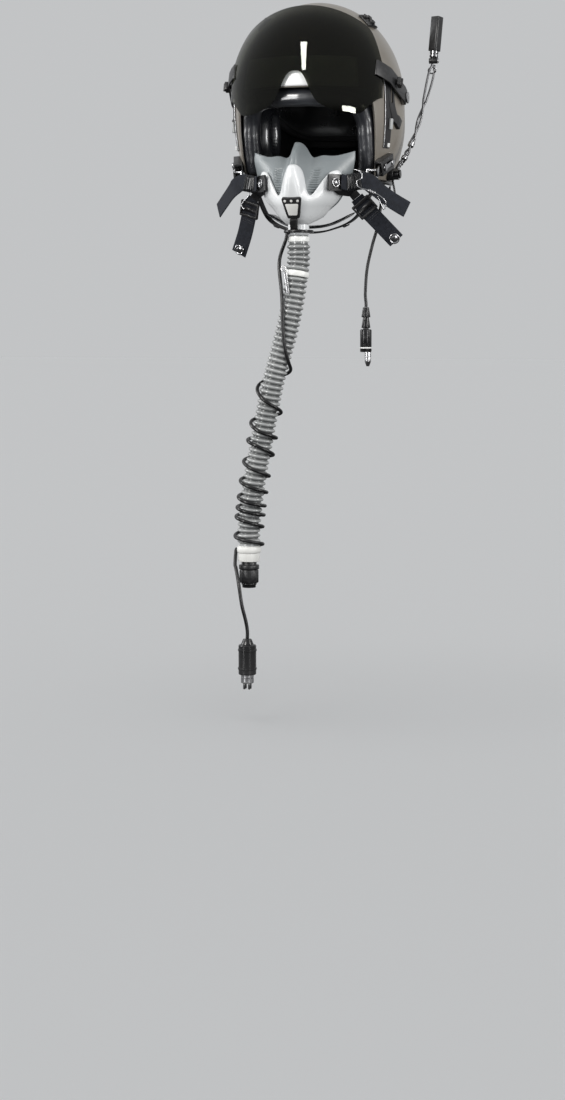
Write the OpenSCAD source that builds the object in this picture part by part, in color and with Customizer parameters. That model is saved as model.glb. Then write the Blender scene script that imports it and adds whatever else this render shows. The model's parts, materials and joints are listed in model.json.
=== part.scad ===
// Jet pilot's helmet with its tinted visor raised, the oxygen mask clipped on and the hose hanging.
// The wearer faces -Y, the wearer's left is +X and the origin is between the ears.

/* [Shell] */
// Half width of the shell
shell_rx = 119; // [114:1:124]
// Depth of the shell in front of the ears
shell_front = 137; // [132:1:140]
// Depth of the shell behind the ears
shell_back = 140; // [134:1:148]
// Height of the dome's centre above the ears, which is also the visor's pivot
dome_z = 35; // [31:1:39]
// Rise of the crown above the dome's centre
dome_h = 134; // [128:1:138]
// Rate at which the skirt draws in below the dome's centre
skirt_h = 230; // [215:5:260]
// Thickness of the shell's wall
shell_wall = 3.5; // [2.5:0.5:4]
// How far the shell swells out over the ears
ear_swell = 4; // [2:0.5:5]
// Height of the edge above the brow
brow_z = 40; // [38:1:44]
// Height of the bottom edge at the sides
hem_z = -80; // [-84:1:-76]
// Height of the bottom edge at the nape
nape_z = -68; // [-74:1:-62]
// Thickness of the white panel under the visor
panel_t = 1; // [0.8:0.2:1.6]

/* [Lining] */
// Thickness of the energy-absorbing foam
foam_t = 17; // [14:1:20]
// Thickness of the fitted inner liner
fit_t = 6; // [5:1:8]
// Radius of the leather roll round the face opening
roll_r = 12.5; // [11.5:0.5:13]
// Radius of the rubber bead on the bottom edge
bead_r = 3; // [2.5:0.5:3.5]
// Depth of each earcup from its mouth to its back
cup_depth = 24; // [21:1:26]
// Height of each earcup
cup_h = 84; // [78:2:88]
// Width of each earcup, front to back
cup_w = 68; // [62:2:72]
// Wall of each earcup
cup_wall = 2.5; // [2:0.5:3]
// Distance from the middle to each earcup's mouth
cup_x = 84; // [83:0.5:85]
// Thickness of each ear cushion
cushion_t = 18; // [16:1:20]
// Radius of each earphone
phone_r = 22; // [19:1:23]

/* [Visor] */
// Half width of the round surface that the lens lies on
lens_rx = 128; // [126:1:131]
// Radius of the lens about the pivots
lens_r = 145; // [144:1:150]
// Thickness of the lens
lens_t = 2.2; // [1.8:0.2:2.6]
// Half width of the lens
lens_half = 108; // [105:1:109]
// Height of the nose notch, as an angle about the pivots
notch_rise = 26; // [22:1:29]
// Radius of the pivot screws
pivot_r = 4; // [3:0.5:5]
// Thickness of the visor arms
arm_t = 2.2; // [1.8:0.2:2.6]
// Radius of the arc tracks about the pivots
track_r = 45; // [44:1:47]
// Width of each track
track_w = 14; // [13:0.5:15]
// Thickness of each track
track_t = 2; // [1.6:0.2:2.2]

/* [Mask] */
// Half width of the mask at its wings
mask_half = 72; // [70:1:74]
// Thickness of the soft face form
form_t = 4.5; // [4:0.5:5]
// Thickness of the hard shell over the face form
mask_t = 2.6; // [2:0.2:3]
// Depth of the hose port's centre in front of the ears
port_y = -118; // [-120:1:-116]
// Radius of the hose port
port_r = 10.6; // [10:0.2:10.8]
// Width of the mask's webbing
web_w = 19; // [17:1:21]
// Thickness of the mask's webbing
web_t = 1.8; // [1.4:0.2:2.2]

/* [Hose and cords] */
// Outer radius of the hose over its ribs
hose_r = 16.2; // [15.6:0.2:17]
// Bore of the hose
hose_bore = 22; // [21.8:0.2:22.6]
// Number of ribs on the hose
hose_ribs = 56; // [40:1:62]
// Diameter of the microphone cord
mic_cord_d = 5; // [4:0.5:5.5]
// Diameter of the headset cord
head_cord_d = 4.4; // [4:0.2:5]

/* [Boom] */
// Diameter of each wire of the boom
wire_d = 3.2; // [2.6:0.2:3.6]
// Length of the microphone block
mic_len = 52; // [44:1:56]
// Width of the microphone block
mic_w = 13; // [11:1:15]

/* [Hidden] */

// Working clearance between fitted pieces
gap = 0.4;
// Clearance round turning pieces
play = 0.3;
// Half sizes of the shell and the lens that the fittings' places are given for
drawn_side = 119;
drawn_depth = 137;
drawn_lens = 108;
// How far the shell's side has moved out from there
shell_out = shell_rx - drawn_side;
// Colours of the materials
taupe = "#7d776c";
black = "#17171a";
leather = "#202126";
foam = "#2c2c2e";
white = "#e9ebea";
silver = "#b9bcc0";
grey = "#9aa3a8";
pale = "#c9d0d4";
web = "#3b3f44";
tint = "#141716";

function mix(a, b, t) = a + (b - a) * t;
function clip(t) = min(1, max(0, t));
function ease(t) = let (u = clip(t)) u * u * (3 - 2 * u);
function unit(v) = v / norm(v);
function mirrored(p) = [-p[0], p[1], p[2]];
function backward(p) = [for (i = [len(p) - 1:-1:0]) p[i]];

// Smooth curve through a list of points, at t from 0 to 1
function curve_at(p, t) =
    let (n = len(p) - 1, u = clip(t) * n, i = min(n - 1, floor(u)), f = u - i)
    let (a = p[max(0, i - 1)], b = p[i], c = p[i + 1], d = p[min(n, i + 2)])
    0.5 * (2 * b + (c - a) * f + (2 * a - 5 * b + 4 * c - d) * f * f + (3 * b - a - 3 * c + d) * f * f * f);
function curve(p, n) = [for (i = [0:n]) curve_at(p, i / n)];
function curve_dir(p, t) = unit(curve_at(p, t + 0.004) - curve_at(p, t - 0.004));

// Direction of a list of points at point i
function way(p, i) = unit(p[min(len(p) - 1, i + 1)] - p[max(0, i - 1)]);

// Triangles of a grid of points with n rows and m columns, from point number start
function grid_faces(n, m, start, wrap, flip) = [
    for (i = [0:n - 2], j = [0:m - (wrap ? 1 : 2)])
        let (k = (j + 1) % m, a = start + i * m + j, b = start + i * m + k, c = a + m, d = b + m)
        each flip ? [[a, d, b], [a, c, d]] : [[a, b, d], [a, d, c]]
];
function edge_faces(a, b, flip) = [
    for (i = [0:len(a) - 2])
        each flip ? [[a[i], b[i], b[i + 1]], [a[i], b[i + 1], a[i + 1]]]
                  : [[a[i], b[i + 1], b[i]], [a[i], a[i + 1], b[i + 1]]]
];

// Closed sheet between two grids of points of the same size
module sheet(outer, inner, flip = false) {
    n = len(outer);
    m = len(outer[0]);
    nm = n * m;
    points = concat([for (r = outer) each r], [for (r = inner) each r]);
    top = [for (j = [0:m - 1]) j];
    bottom = [for (j = [0:m - 1]) (n - 1) * m + j];
    first = [for (i = [0:n - 1]) i * m];
    last = [for (i = [0:n - 1]) i * m + m - 1];
    polyhedron(points, concat(
        grid_faces(n, m, 0, false, flip),
        grid_faces(n, m, nm, false, !flip),
        edge_faces(top, [for (a = top) a + nm], !flip),
        edge_faces(bottom, [for (a = bottom) a + nm], flip),
        edge_faces(first, [for (a = first) a + nm], flip),
        edge_faces(last, [for (a = last) a + nm], !flip)));
}

// Closed solid through a list of rings with flat ends
module loft(rings) {
    n = len(rings);
    m = len(rings[0]);
    polyhedron([for (r = rings) each r], concat(
        grid_faces(n, m, 0, true, false),
        [for (j = [1:m - 2]) [0, j + 1, j]],
        [for (j = [1:m - 2]) (n - 1) * m * [1, 1, 1] + [0, j, j + 1]]));
}

// Ring of points round p, square to direction d, with its first point toward side
function ring(p, d, side, r, sides) =
    let (v = unit(cross(d, side)), u = cross(v, d))
    [for (j = [0:sides - 1]) let (a = 360 * j / sides) p + r * (cos(a) * u + sin(a) * v)];

// Round tube along points, whose first facet keeps toward side
module tube(path, r, sides = 8, side = [0, -1, 0.02]) {
    loft([for (i = [0:len(path) - 1]) backward(ring(path[i], way(path, i), side, r, sides))]);
}

// Flat band along points, w wide along across and t thick
module band(path, w, t, across = [0, 0, 1]) {
    loft([for (i = [0:len(path) - 1])
        let (d = way(path, i), n = unit(cross(d, across)), s = cross(n, d))
        [path[i] - s * w / 2 - n * t / 2, path[i] - s * w / 2 + n * t / 2,
         path[i] + s * w / 2 + n * t / 2, path[i] + s * w / 2 - n * t / 2]]);
}

// Places children with their +Z along d at point p
module aim(p, d) {
    translate(p) rotate([0, acos(unit(d)[2]), atan2(d[1], d[0])]) children();
}

// A bar along X from x0 to x1
module bar_x(x0, x1, r, fn = 32) {
    translate([x0, 0, 0]) rotate([0, 90, 0]) cylinder(r = r, h = x1 - x0, $fn = fn);
}

// Shell: a dome whose skirt draws in slowly and swells over the ears

function swell(angle, z) =
    1 + ear_swell / shell_rx * ease((abs(angle) - 65) / 25) * exp(-pow((z + 20) / 38, 2));
function dome_point(off, angle, tilt) =
    let (
        z = dome_z + (cos(tilt) >= 0 ? dome_h - off : skirt_h) * cos(tilt),
        depth = abs(angle) < 90 ? shell_front : shell_back
    )
    [(shell_rx * swell(angle, z) - off) * sin(tilt) * sin(angle), -(depth - off) * sin(tilt) * cos(angle), z];
function tilt_at(off, z) = acos((z - dome_z) / (z < dome_z ? skirt_h : dome_h - off));
function on_dome(off, angle, z) = dome_point(off, angle, tilt_at(off, z));
// Distance of the shell's side from the middle, at a depth and a height
function side_x(y, z) =
    let (c = (z - dome_z) / (z < dome_z ? skirt_h : dome_h), d = y < 0 ? shell_front : shell_back)
    let (angle = 90 + asin(y / d / sqrt(1 - c * c)))
    shell_rx * swell(angle, z) * sqrt(max(0, 1 - c * c - pow(y / d, 2)));

// Height of the shell's edge round the head: high over the brow and low past the temples
temple_a = 50;
temple_b = 66;
function rim_z(angle) =
    let (a = abs(angle))
    a < 90 ? mix(brow_z, hem_z, ease((a - temple_a) / (temple_b - temple_a)))
           : mix(hem_z, nape_z, ease((a - 90) / 80));
half_angles = [0, 12, 24, 36, 45, 50, 53, 56, 59, 62, 66, 74, 84, 96, 110, 125, 140, 155, 168, 180];
angles = concat([for (i = [len(half_angles) - 2:-1:1]) -half_angles[i]], half_angles);

module dome(outer_off, inner_off, edge, rows, list) {
    m = len(list);
    outer = [for (i = [1:rows]) [for (a = list)
        dome_point(outer_off, a, tilt_at(outer_off, edge(a)) * i / rows)]];
    inner = [for (i = [1:rows]) [for (a = list)
        dome_point(inner_off, a, tilt_at(inner_off, edge(a)) * i / rows)]];
    nm = rows * m;
    points = concat([for (r = outer) each r], [for (r = inner) each r],
        [dome_point(outer_off, 0, 0), dome_point(inner_off, 0, 0)]);
    last = [for (j = [0:m]) (rows - 1) * m + j % m];
    polyhedron(points, concat(
        grid_faces(rows, m, 0, true, false),
        grid_faces(rows, m, nm, true, true),
        [for (j = [0:m - 1]) [2 * nm, (j + 1) % m, j]],
        [for (j = [0:m - 1]) [2 * nm + 1, nm + j, nm + (j + 1) % m]],
        edge_faces(last, [for (a = last) a + nm], false)));
}

module shell() {
    color(taupe) dome(0, shell_wall, function(a) rim_z(a), 12, angles);
}

// Sheet lying on the dome between two angles and two heights
module dome_patch(off, t, a0, a1, z0, z1, n, m) {
    grid = function(o) [for (i = [0:n]) [for (j = [0:m]) on_dome(o, mix(a0, a1, j / m), mix(z1, z0, i / n))]];
    sheet(grid(off - t), grid(off));
}

panel_top = 42;
module brow_panel() {
    color(white) dome_patch(-gap, panel_t, -42, 42, brow_z + 1, brow_z + panel_top, 4, 14);
}

foam_off = shell_wall + 1.2;
fit_off = foam_off + foam_t + 0.95;
foam_z = 44;
function foam_edge(a) =
    abs(a) < 90 ? mix(foam_z, foam_z - 4, ease((abs(a) - 40) / 40))
        : mix(foam_z - 4, -12, ease((abs(a) - 90) / 70));
module impact_liner() {
    color(foam) dome(foam_off, foam_off + foam_t, function(a) foam_edge(a), 8, angles);
}
module fit_liner() {
    color(leather) dome(fit_off, fit_off + fit_t, function(a) foam_edge(a) + 6, 6, angles);
}

// Leather roll: it lies inside the shell's edge and stands a little proud of it
roll_route = [[64, -70], [61, -48], [57.5, -20], [54, 2], [46, 19], [33, 26], [16, 27], [0, 27]];
// Brow height that the route above was drawn for
roll_brow = 40;
function roll_point(a, z) = on_dome(shell_wall + roll_r + 2.6, a, z + brow_z - roll_brow);
roll_half = [for (q = roll_route) roll_point(q[0], q[1])];
roll_path = concat(roll_half, [for (i = [len(roll_half) - 2:-1:0]) mirrored(roll_half[i])]);
module edge_roll() {
    color(leather) tube(curve(roll_path, 30), roll_r, 10, [0, -0.3, -1]);
}

// Rubber bead under the shell's edge, from one temple round the nape to the other
bead_from = 67;
bead_angles = [for (i = [0:24]) mix(bead_from, 360 - bead_from, i / 24)];
function wrap180(a) = a > 180 ? a - 360 : a;
bead_path = [for (a = bead_angles)
    let (b = wrap180(a)) on_dome(shell_wall / 2, b, rim_z(b) - bead_r - 0.7)];
module edge_bead() {
    color(black) tube(bead_path, bead_r, 6, [0, 0, 1]);
}

// Ears: a rounded cup, a cushion with a crown and drawn-in sides, and an earphone

module oval(w, h, fn = 32) {
    offset(r = w * 0.36, $fn = fn) square([w * 0.28, h - w * 0.72], center = true);
}
ear_y = 4;
ear_z = -14;
module at_ear() {
    translate([cup_x, ear_y, ear_z]) rotate([90, 0, 90]) children();
}
cup_draft = 0.78;
module earcup_left() {
    color(black) at_ear() difference() {
        linear_extrude(cup_depth, scale = cup_draft) oval(cup_w, cup_h);
        translate([0, 0, -0.01])
            linear_extrude(cup_depth - cup_wall, scale = cup_draft)
                oval(cup_w - 2 * cup_wall, cup_h - 2 * cup_wall);
    }
}
module earcup_right() {
    mirror([1, 0, 0]) earcup_left();
}

// Cushion: a ring whose section has a crowned face and sides that draw in to its base
cushion_steps = 28;
cushion_section = [[0.06, 0], [0, 0.3], [0.1, 0.72], [0.32, 0.96], [0.62, 1], [0.88, 0.8], [1, 0.36],
    [0.9, 0]];
cushion_ring_w = 17;
function cushion_point(i, q) =
    let (
        a = 360 * i / cushion_steps,
        reach = 1 - cushion_ring_w * 2 * q[0] / cup_w,
        side = pow(pow(abs(cos(a)), 2.4) + pow(abs(sin(a)), 2.4), -1 / 2.4)
    )
    [-cushion_t * q[1],
     (cup_w / 2 + 1) * reach * side * cos(a),
     (cup_h / 2 + 1 - cushion_ring_w * q[0]) * side * sin(a)];
module ring_loft(rings) {
    n = len(rings);
    m = len(rings[0]);
    polyhedron([for (r = rings) each r], [
        for (i = [0:n - 1], j = [0:m - 1])
            let (a = i * m + j, b = i * m + (j + 1) % m, c = (i + 1) % n * m + j,
                d = (i + 1) % n * m + (j + 1) % m)
            each [[a, d, b], [a, c, d]]]);
}
module ear_cushion_left() {
    color(leather) translate([cup_x - play, ear_y, ear_z])
        ring_loft([for (i = [0:cushion_steps - 1]) [for (q = cushion_section) cushion_point(i, q)]]);
}
module ear_cushion_right() {
    mirror([1, 0, 0]) ear_cushion_left();
}

phone_t = 11;
module earphone_left() {
    color(black) at_ear() translate([0, 0, cup_depth - cup_wall - phone_t - play])
        difference() {
            cylinder(r = phone_r, h = phone_t, $fn = 48);
            for (a = [0:60:300]) rotate(a) translate([phone_r * 0.55, 0, -1])
                cylinder(r = 2, h = 3, $fn = 16);
            translate([0, 0, -1]) cylinder(r = 2, h = 3, $fn = 16);
        }
}
module earphone_right() {
    mirror([1, 0, 0]) earphone_left();
}

// Nape pad inside the back of the shell
module nape_pad() {
    n = 3;
    m = 10;
    grid = function(o, z0, z1)
        [for (i = [0:n]) [for (j = [0:m]) on_dome(o, mix(148, 212, j / m), mix(z1, z0, i / n))]];
    color(leather) sheet(grid(shell_wall + 2.5, nape_z + 4, -20), grid(shell_wall + 17, nape_z + 8, -25));
}

// Chin strap: from inside one side of the shell, under the jaw, to the other
strap_top = [side_x(-34, -64) - shell_wall - 3.4, -24, -64];
chin_half = [strap_top, [83, -30, -98], [62, -42, -134], [30, -52, -150]];
chin_path = concat(chin_half, [[0, -56, -154]], [for (i = [3:-1:0]) mirrored(chin_half[i])]);
chin_w = 20;
chin_t = 2.4;
module chin_strap() {
    color(black) band(curve(chin_path, 18), chin_w, chin_t, [0, 1, 0.1]);
}
module chin_pad() {
    path = [for (p = [chin_half[2], chin_half[3], [0, -56, -154], mirrored(chin_half[3]),
        mirrored(chin_half[2])])
        p + [p[0] * 0.01, 0, chin_t / 2 + 3.4 - abs(p[0]) * 0.008]];
    color(leather) band([for (p = curve(path, 12)) p * 0.985 + [0, 0, 1]], chin_w + 6, 4, [0, 1, 0.1]);
}
module chin_snaps() {
    color(silver) for (s = [-1, 1]) {
        p = curve_at(chin_path, 0.5 + s * 0.2);
        n = unit(cross(curve_dir(chin_path, 0.5 + s * 0.2), [0, 1, 0.1]));
        out = n[2] < 0 ? n : -n;
        aim(p + out * (chin_t / 2 + 0.05), out) cylinder(r1 = 6, r2 = 4.5, h = 2.2, $fn = 32);
    }
}

// Clips high on the shell, with finger ribs
clip_ribs = 9;
module crown_clip(s) {
    grid = function(ribs) [for (i = [0:clip_ribs]) [for (j = [0:4])
        dome_point(ribs ? -gap - (i % 2 == 0 ? 3 : 4.6) * (j == 0 || j == 4 ? 0.7 : 1) : -gap,
            s * mix(69, 85, j / 4), mix(34, 45, i / clip_ribs))]];
    sheet(grid(true), grid(false), s < 0);
}
module crown_clips() {
    color(black) for (s = [-1, 1]) crown_clip(s);
}

// Bayonet receivers: flared channels on the shell behind the cheeks

receiver_at = [105.5, -50, -61];
receiver_tilt = 24;
receiver_yaw = -15;
receiver_len = 36;
receiver_h = 21;
receiver_depth = 12;
receiver_wall = 2;
slot_h = 14;
module at_receiver() {
    translate([receiver_at[0] + shell_out, receiver_at[1], receiver_at[2]])
        rotate([receiver_tilt, 0, 0]) rotate([0, 0, receiver_yaw]) children();
}
// A block cut to the shell's side: the part of the side that the cut follows, round and down
side_span = [52, 100];
side_drop = [-20, -104];
module off_shell(s = 1) {
    difference() {
        children();
        grid = function(o) [for (i = [0:6]) [for (j = [0:8])
            on_dome(o, s * mix(side_span[0], side_span[1], j / 8), mix(side_drop[0], side_drop[1], i / 6))]];
        sheet(grid(-gap), grid(30), s < 0);
    }
}
module receiver_left() {
    color(black) off_shell() at_receiver() difference() {
        translate([-receiver_depth / 2, -receiver_len / 2, -receiver_h / 2])
            cube([receiver_depth, receiver_len, receiver_h]);
        translate([-receiver_depth / 2 + receiver_wall, -receiver_len, -slot_h / 2])
            cube([receiver_depth - 2 * receiver_wall, receiver_len * 1.5 - 6, slot_h]);
        translate([receiver_depth / 2 - 3, -receiver_len / 2 + 12, -4])
            cube([6, 14, 8]);
    }
}
module receiver_right() {
    mirror([1, 0, 0]) receiver_left();
}

// Spring latch on the receiver's outer wall: press its tail to free the bayonet
latch_t = 1.6;
module latch_left() {
    color(silver) at_receiver() translate([receiver_depth / 2 + 0.4, 0, 0]) {
        translate([0, -12, -3]) cube([latch_t, 26, 6]);
        translate([0, -12, -5]) cube([latch_t, 5, 10]);
        translate([0, 10, 0]) bar_x(0, latch_t + 1.4, 3.6, 24);
    }
}
module latch_right() {
    mirror([1, 0, 0]) latch_left();
}

// Visor tracks: arc plates round the pivots, each with a slot for the visor's lock

raised = 22;
travel = 26;
slot_w = 7;
track_up = 34;
track_down = -62;
function track_point(off, a, r) =
    let (y = -r * cos(a), z = dome_z + r * sin(a)) [side_x(y, z) + off, y, z];
module track(s) {
    thick = function(a) track_t + (a < -46 ? 2.4 : 0);
    grid = function(top) [for (i = [0:20]) [for (j = [0:3])
        let (a = mix(track_up, track_down, i / 20))
        track_point(gap + (top ? thick(a) : 0), a, track_r + track_w * (j / 3 - 0.5))]];
    mirror([s > 0 ? 0 : 1, 0, 0]) difference() {
        sheet(grid(true), grid(false), true);
        translate([shell_rx - 30, 0, dome_z]) rotate([90, 0, 90]) linear_extrude(60)
            arc_slot(track_r, 180 - raised - 6, 180 - raised + travel + 6, slot_w);
    }
}
module arc_slot(r, a0, a1, w) {
    steps = 12;
    for (a = [a0, a1]) rotate(a) translate([r, 0]) circle(d = w, $fn = 24);
    polygon(concat(
        [for (i = [0:steps]) let (a = mix(a0, a1, i / steps)) (r + w / 2) * [cos(a), sin(a)]],
        [for (i = [steps:-1:0]) let (a = mix(a0, a1, i / steps)) (r - w / 2) * [cos(a), sin(a)]]));
}
module track_left() {
    color(black) track(1);
}
module track_right() {
    color(black) track(-1);
}

// Pivots: a boss on the shell, a screw through the arm and its head
boss_h = 4;
boss_r = 10;
head_h = 2;
pivot_x = side_x(0, dome_z) + gap;
arm_x = pivot_x + boss_h + play;
head_x = arm_x + arm_t + play;
module pivot_left() {
    color(silver) translate([0, 0, dome_z]) {
        bar_x(pivot_x, pivot_x + boss_h, boss_r, 48);
        bar_x(pivot_x, head_x, pivot_r);
        difference() {
            bar_x(head_x, head_x + head_h, pivot_r * 2);
            for (a = [0, 90]) rotate([a, 0, 0]) translate([head_x + 1, -5, -0.6]) cube([2, 10, 1.2]);
        }
    }
}
module pivot_right() {
    mirror([1, 0, 0]) pivot_left();
}

// Visor: a lens on a surface turned about the pivots, carried by two bent arms

lens_ax = lens_rx + shell_out + lens_half - drawn_lens;
lens_ar = lens_r + max(shell_front, dome_h) - drawn_depth;
function lens_x(r) = lens_ax * sqrt(1 - pow(r / lens_ar, 2));
function lens_point(off, x, a) =
    let (r = (lens_ar + off) * sqrt(1 - pow(x / (lens_ax + off), 2)))
    [x, -r * cos(a), dome_z + r * sin(a)];
lens_low = -17;
lens_lift = 11;
lens_high = 57;
corner = 82;
// The nose notch has a round top and legs that spread toward the corners
function notch(x) = exp(-pow(x / 24, 2)) / 2 + exp(-pow(x / 50, 2)) / 2;
function lens_bottom(x) =
    lens_low + notch_rise * notch(x) + lens_lift * ease((abs(x) - corner) / (lens_half - corner));
function lens_top(x) = lens_high - 30 * pow(clip((abs(x) - corner) / (lens_half - corner)), 2);
lens_cols = 28;
lens_rows = 10;
module visor_lens() {
    grid = function(off) [for (i = [0:lens_rows]) [for (j = [0:lens_cols])
        let (t = j / lens_cols * 2 - 1, x = lens_half * sin(90 * t) * 0.35 + lens_half * t * 0.65)
        lens_point(off, x, mix(lens_top(x), lens_bottom(x), i / lens_rows))]];
    color(tint) sheet(grid(0), grid(-lens_t));
}

arm_reach = 92;
lens_edge_r = lens_ar * sqrt(1 - pow(lens_half / lens_ax, 2));
function arm_seat(r) = lens_x(r) + 0.6;
arm_hub = 11;
arm_bend = 66;
arm_line = [[0, arm_x], [arm_hub, arm_x], [arm_bend, arm_seat(arm_bend)],
    [lens_edge_r, arm_seat(lens_edge_r)],
    [arm_reach, arm_seat(arm_reach)]];
module arm_outline() {
    hull() {
        circle(r = arm_hub, $fn = 48);
        translate([arm_reach - 12, -arm_hub]) square([11, arm_hub * 2]);
    }
}
module visor_arm(s) {
    mirror([s > 0 ? 0 : 1, 0, 0]) translate([0, 0, dome_z]) rotate([-raised, 0, 0]) difference() {
        intersection() {
            translate([0, 0, -15]) linear_extrude(30)
                polygon(concat([for (p = arm_line) [p[1], -p[0]]],
                    [for (i = [len(arm_line) - 1:-1:0]) [arm_line[i][1] + arm_t,
                        -arm_line[i][0] - (i > 1 ? 0.4 : 0)]]));
            rotate([0, 90, 0]) rotate(-90) linear_extrude(lens_ax + 20) arm_outline();
        }
        bar_x(arm_x - 5, arm_x + arm_t + 5, pivot_r + play, 48);
        translate([0, -track_r, 0]) bar_x(lens_x(track_r) - 20, lens_x(track_r) + 20, lock_r + play, 32);
    }
}
lock_r = 3;
module visor_arm_left() {
    color(black) visor_arm(1);
}
module visor_arm_right() {
    color(black) visor_arm(-1);
}

// Lock: a square knob on each arm, with a stud that runs in the track's slot
function arm_out(r) = mix(arm_x, arm_seat(arm_bend), (r - arm_hub) / (arm_bend - arm_hub)) + arm_t;
stud_end = track_point(gap, raised, track_r - lock_r)[0] + 0.7;
knob_w = 12;
module visor_lock(s) {
    mirror([s > 0 ? 0 : 1, 0, 0]) translate([0, 0, dome_z]) rotate([-raised, 0, 0])
        translate([0, -track_r, 0]) {
        top = arm_out(track_r - knob_w * 0.7) + play;
        bar_x(stud_end, top + 1, lock_r);
        translate([top, -knob_w / 2, -knob_w / 2]) cube([5, knob_w, knob_w]);
        translate([top + 5, -1.5, -knob_w / 2]) cube([2.5, 3, knob_w]);
    }
}
module visor_lock_left() {
    color(black) visor_lock(1);
}
module visor_lock_right() {
    color(black) visor_lock(-1);
}

// Mask: a face form and a hard shell on one surface, which runs from the nose down and under the chin

// Each row of the surface: share of the way down, height, depth at the middle, depth without the nose,
// depth at the sides, half width, width of the nose and lift of the sides
mask_rows = [
    [0.00, -58, -126, -108, -84, 1.00, 8, 0],
    [0.15, -64, -146, -115, -86, 1.01, 10, 0],
    [0.35, -88, -157, -135, -84, 0.92, 15, 0],
    [0.55, -116, -152, -141, -88, 0.70, 20, 2],
    [0.75, -138, -138, -133, -94, 0.48, 20, 10],
    [0.88, -146, -120, -119, -94, 0.40, 20, 16],
    [1.00, -140, -100, -100, -90, 0.38, 20, 18],
];
function mask_row(s, k) = lookup(s, [for (r = mask_rows) [r[0], r[k]]]);
nose_rise = 24;
wing_rise = 14;
function mask_point(s, t) =
    let (
        x = t * mask_half * mask_row(s, 5),
        edge = nose_rise * exp(-pow(t * mask_half / 11, 2)) + wing_rise * t * t,
        z = mask_row(s, 1) + edge * pow(1 - clip(s / 0.6), 1.6) + mask_row(s, 7) * t * t,
        y = mask_row(s, 3) + (mask_row(s, 4) - mask_row(s, 3)) * pow(abs(t), 2.8)
            + (mask_row(s, 2) - mask_row(s, 3)) * exp(-pow(x / mask_row(s, 6), 2))
    )
    [x, y, z];
function mask_out(s, t) =
    let (h = 0.01, u = mask_point(clip(s + h), t) - mask_point(clip(s - h), t),
        v = mask_point(s, t + h) - mask_point(s, t - h), n = cross(v, u))
    unit(n[1] > 0 && s < 0.8 ? -n : n);
mask_ts = [for (i = [-13:13]) let (t = i / 13) sign(t) * pow(abs(t), 1.25)];
mask_ss = [for (i = [0:14]) i / 14];

module face_form() {
    outer = [for (s = mask_ss) [for (t = mask_ts) mask_point(s, t)]];
    inner = [for (s = mask_ss) [for (t = mask_ts)
        let (p = mask_point(s, t), under = ease((s - 0.62) / 0.25))
        [p[0] * (1 - form_t / mask_half), p[1] + form_t * (1 - under * 0.5), p[2] + form_t * 1.2 * under]]];
    color(grey) difference() {
        sheet(outer, inner);
        port_hole();
    }
}
port_top = -138;
port_ring_z = -157;
port_wall = 4;
module port_hole() {
    translate([0, port_y, port_ring_z]) cylinder(r = port_r + port_wall + gap,
        h = port_top - port_ring_z + 4, $fn = 48);
}

// Edge of the hard shell: a high nose panel, a deep notch on each cheek and a lobe over each strap tab
cover_edge = [[0, 0.26], [0.13, 0.27], [0.2, 0.36], [0.3, 0.47], [0.4, 0.48], [0.52, 0.36], [0.64, 0.25],
    [0.78, 0.24], [0.9, 0.34], [1, 0.5]];
cover_ts = [for (i = [-15:15]) i / 15 * 0.97];
cover_gap = 2.3;
module mask_shell() {
    lip = 0.86;
    grid = function(out) [for (i = [0:10]) [for (t = cover_ts)
        let (s = mix(lookup(abs(t), cover_edge), lip, i / 10), p = mask_point(s, t),
            under = ease((s - 0.62) / 0.25),
            raise = (abs(t) < 0.22 ? 2 : 0) * (1 - ease((s - 0.4) / 0.2)))
        [p[0] * (1 + out * 0.9 / mask_half),
        p[1] - (cover_gap + out + raise * (out > 0 ? 1 : 0)) * (1 - under * 0.5),
         p[2] - (cover_gap + out) * under]]];
    color(pale) difference() {
        sheet(grid(mask_t), grid(0));
        port_hole();
        at_plate() translate([0, 0, -6]) linear_extrude(16) offset(delta = gap) plate_outline();
    }
}
function cover_point(s, t) = let (p = mask_point(s, t))
    [p[0] * (1 + mask_t * 0.9 / mask_half), p[1] - cover_gap - mask_t, p[2]];

// Hose port: a housing through both shells, with a spigot for the hose and a ring below
port_bore = port_r - 2;
spigot_end = -178;
module hose_port() {
    color(pale) translate([0, port_y, 0]) difference() {
        union() {
            translate([0, 0, port_ring_z - 2.7])
                cylinder(r = port_r + port_wall, h = port_top - port_ring_z + 2.7, $fn = 48);
            translate([0, 0, spigot_end]) cylinder(r = port_r, h = 40, $fn = 48);
        }
        translate([0, 0, spigot_end - 1]) cylinder(r = port_bore, h = 60, $fn = 48);
    }
}
port_ring_r = 20.5;
module port_ring() {
    color(black) translate([0, port_y, port_ring_z]) difference() {
        cylinder(r = port_ring_r, h = 4, $fn = 64);
        translate([0, 0, -1]) cylinder(r = port_r + port_wall + play, h = 6, $fn = 48);
    }
}

// Microphone plate on the mask's front, its window, screws and stem
plate_top = 29;
plate_bottom = 17;
plate_len = 31;
module at_plate() {
    a = cover_point(0.52, 0);
    b = cover_point(0.75, 0);
    translate(a) rotate([90 + atan2(b[1] - a[1], a[2] - b[2]), 0, 0]) children();
}
module plate_outline() {
    offset(r = 3, $fn = 32) offset(delta = -3)
        polygon([[-plate_top / 2, 1], [plate_top / 2, 1], [plate_bottom / 2, 1 - plate_len],
            [-plate_bottom / 2, 1 - plate_len]]);
}
plate_t = 3.8;
plate_back = 1.2;
module mic_plate() {
    color(black) at_plate() translate([0, 0, -plate_back]) linear_extrude(plate_t) plate_outline();
}
module mic_window() {
    color(white) at_plate() translate([0, 0, plate_t - plate_back + 0.05]) linear_extrude(0.9)
        offset(r = 1.5, $fn = 24) offset(delta = -1.5)
            polygon([[-9.5, -8], [9.5, -8], [5.8, -25], [-5.8, -25]]);
}
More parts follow.
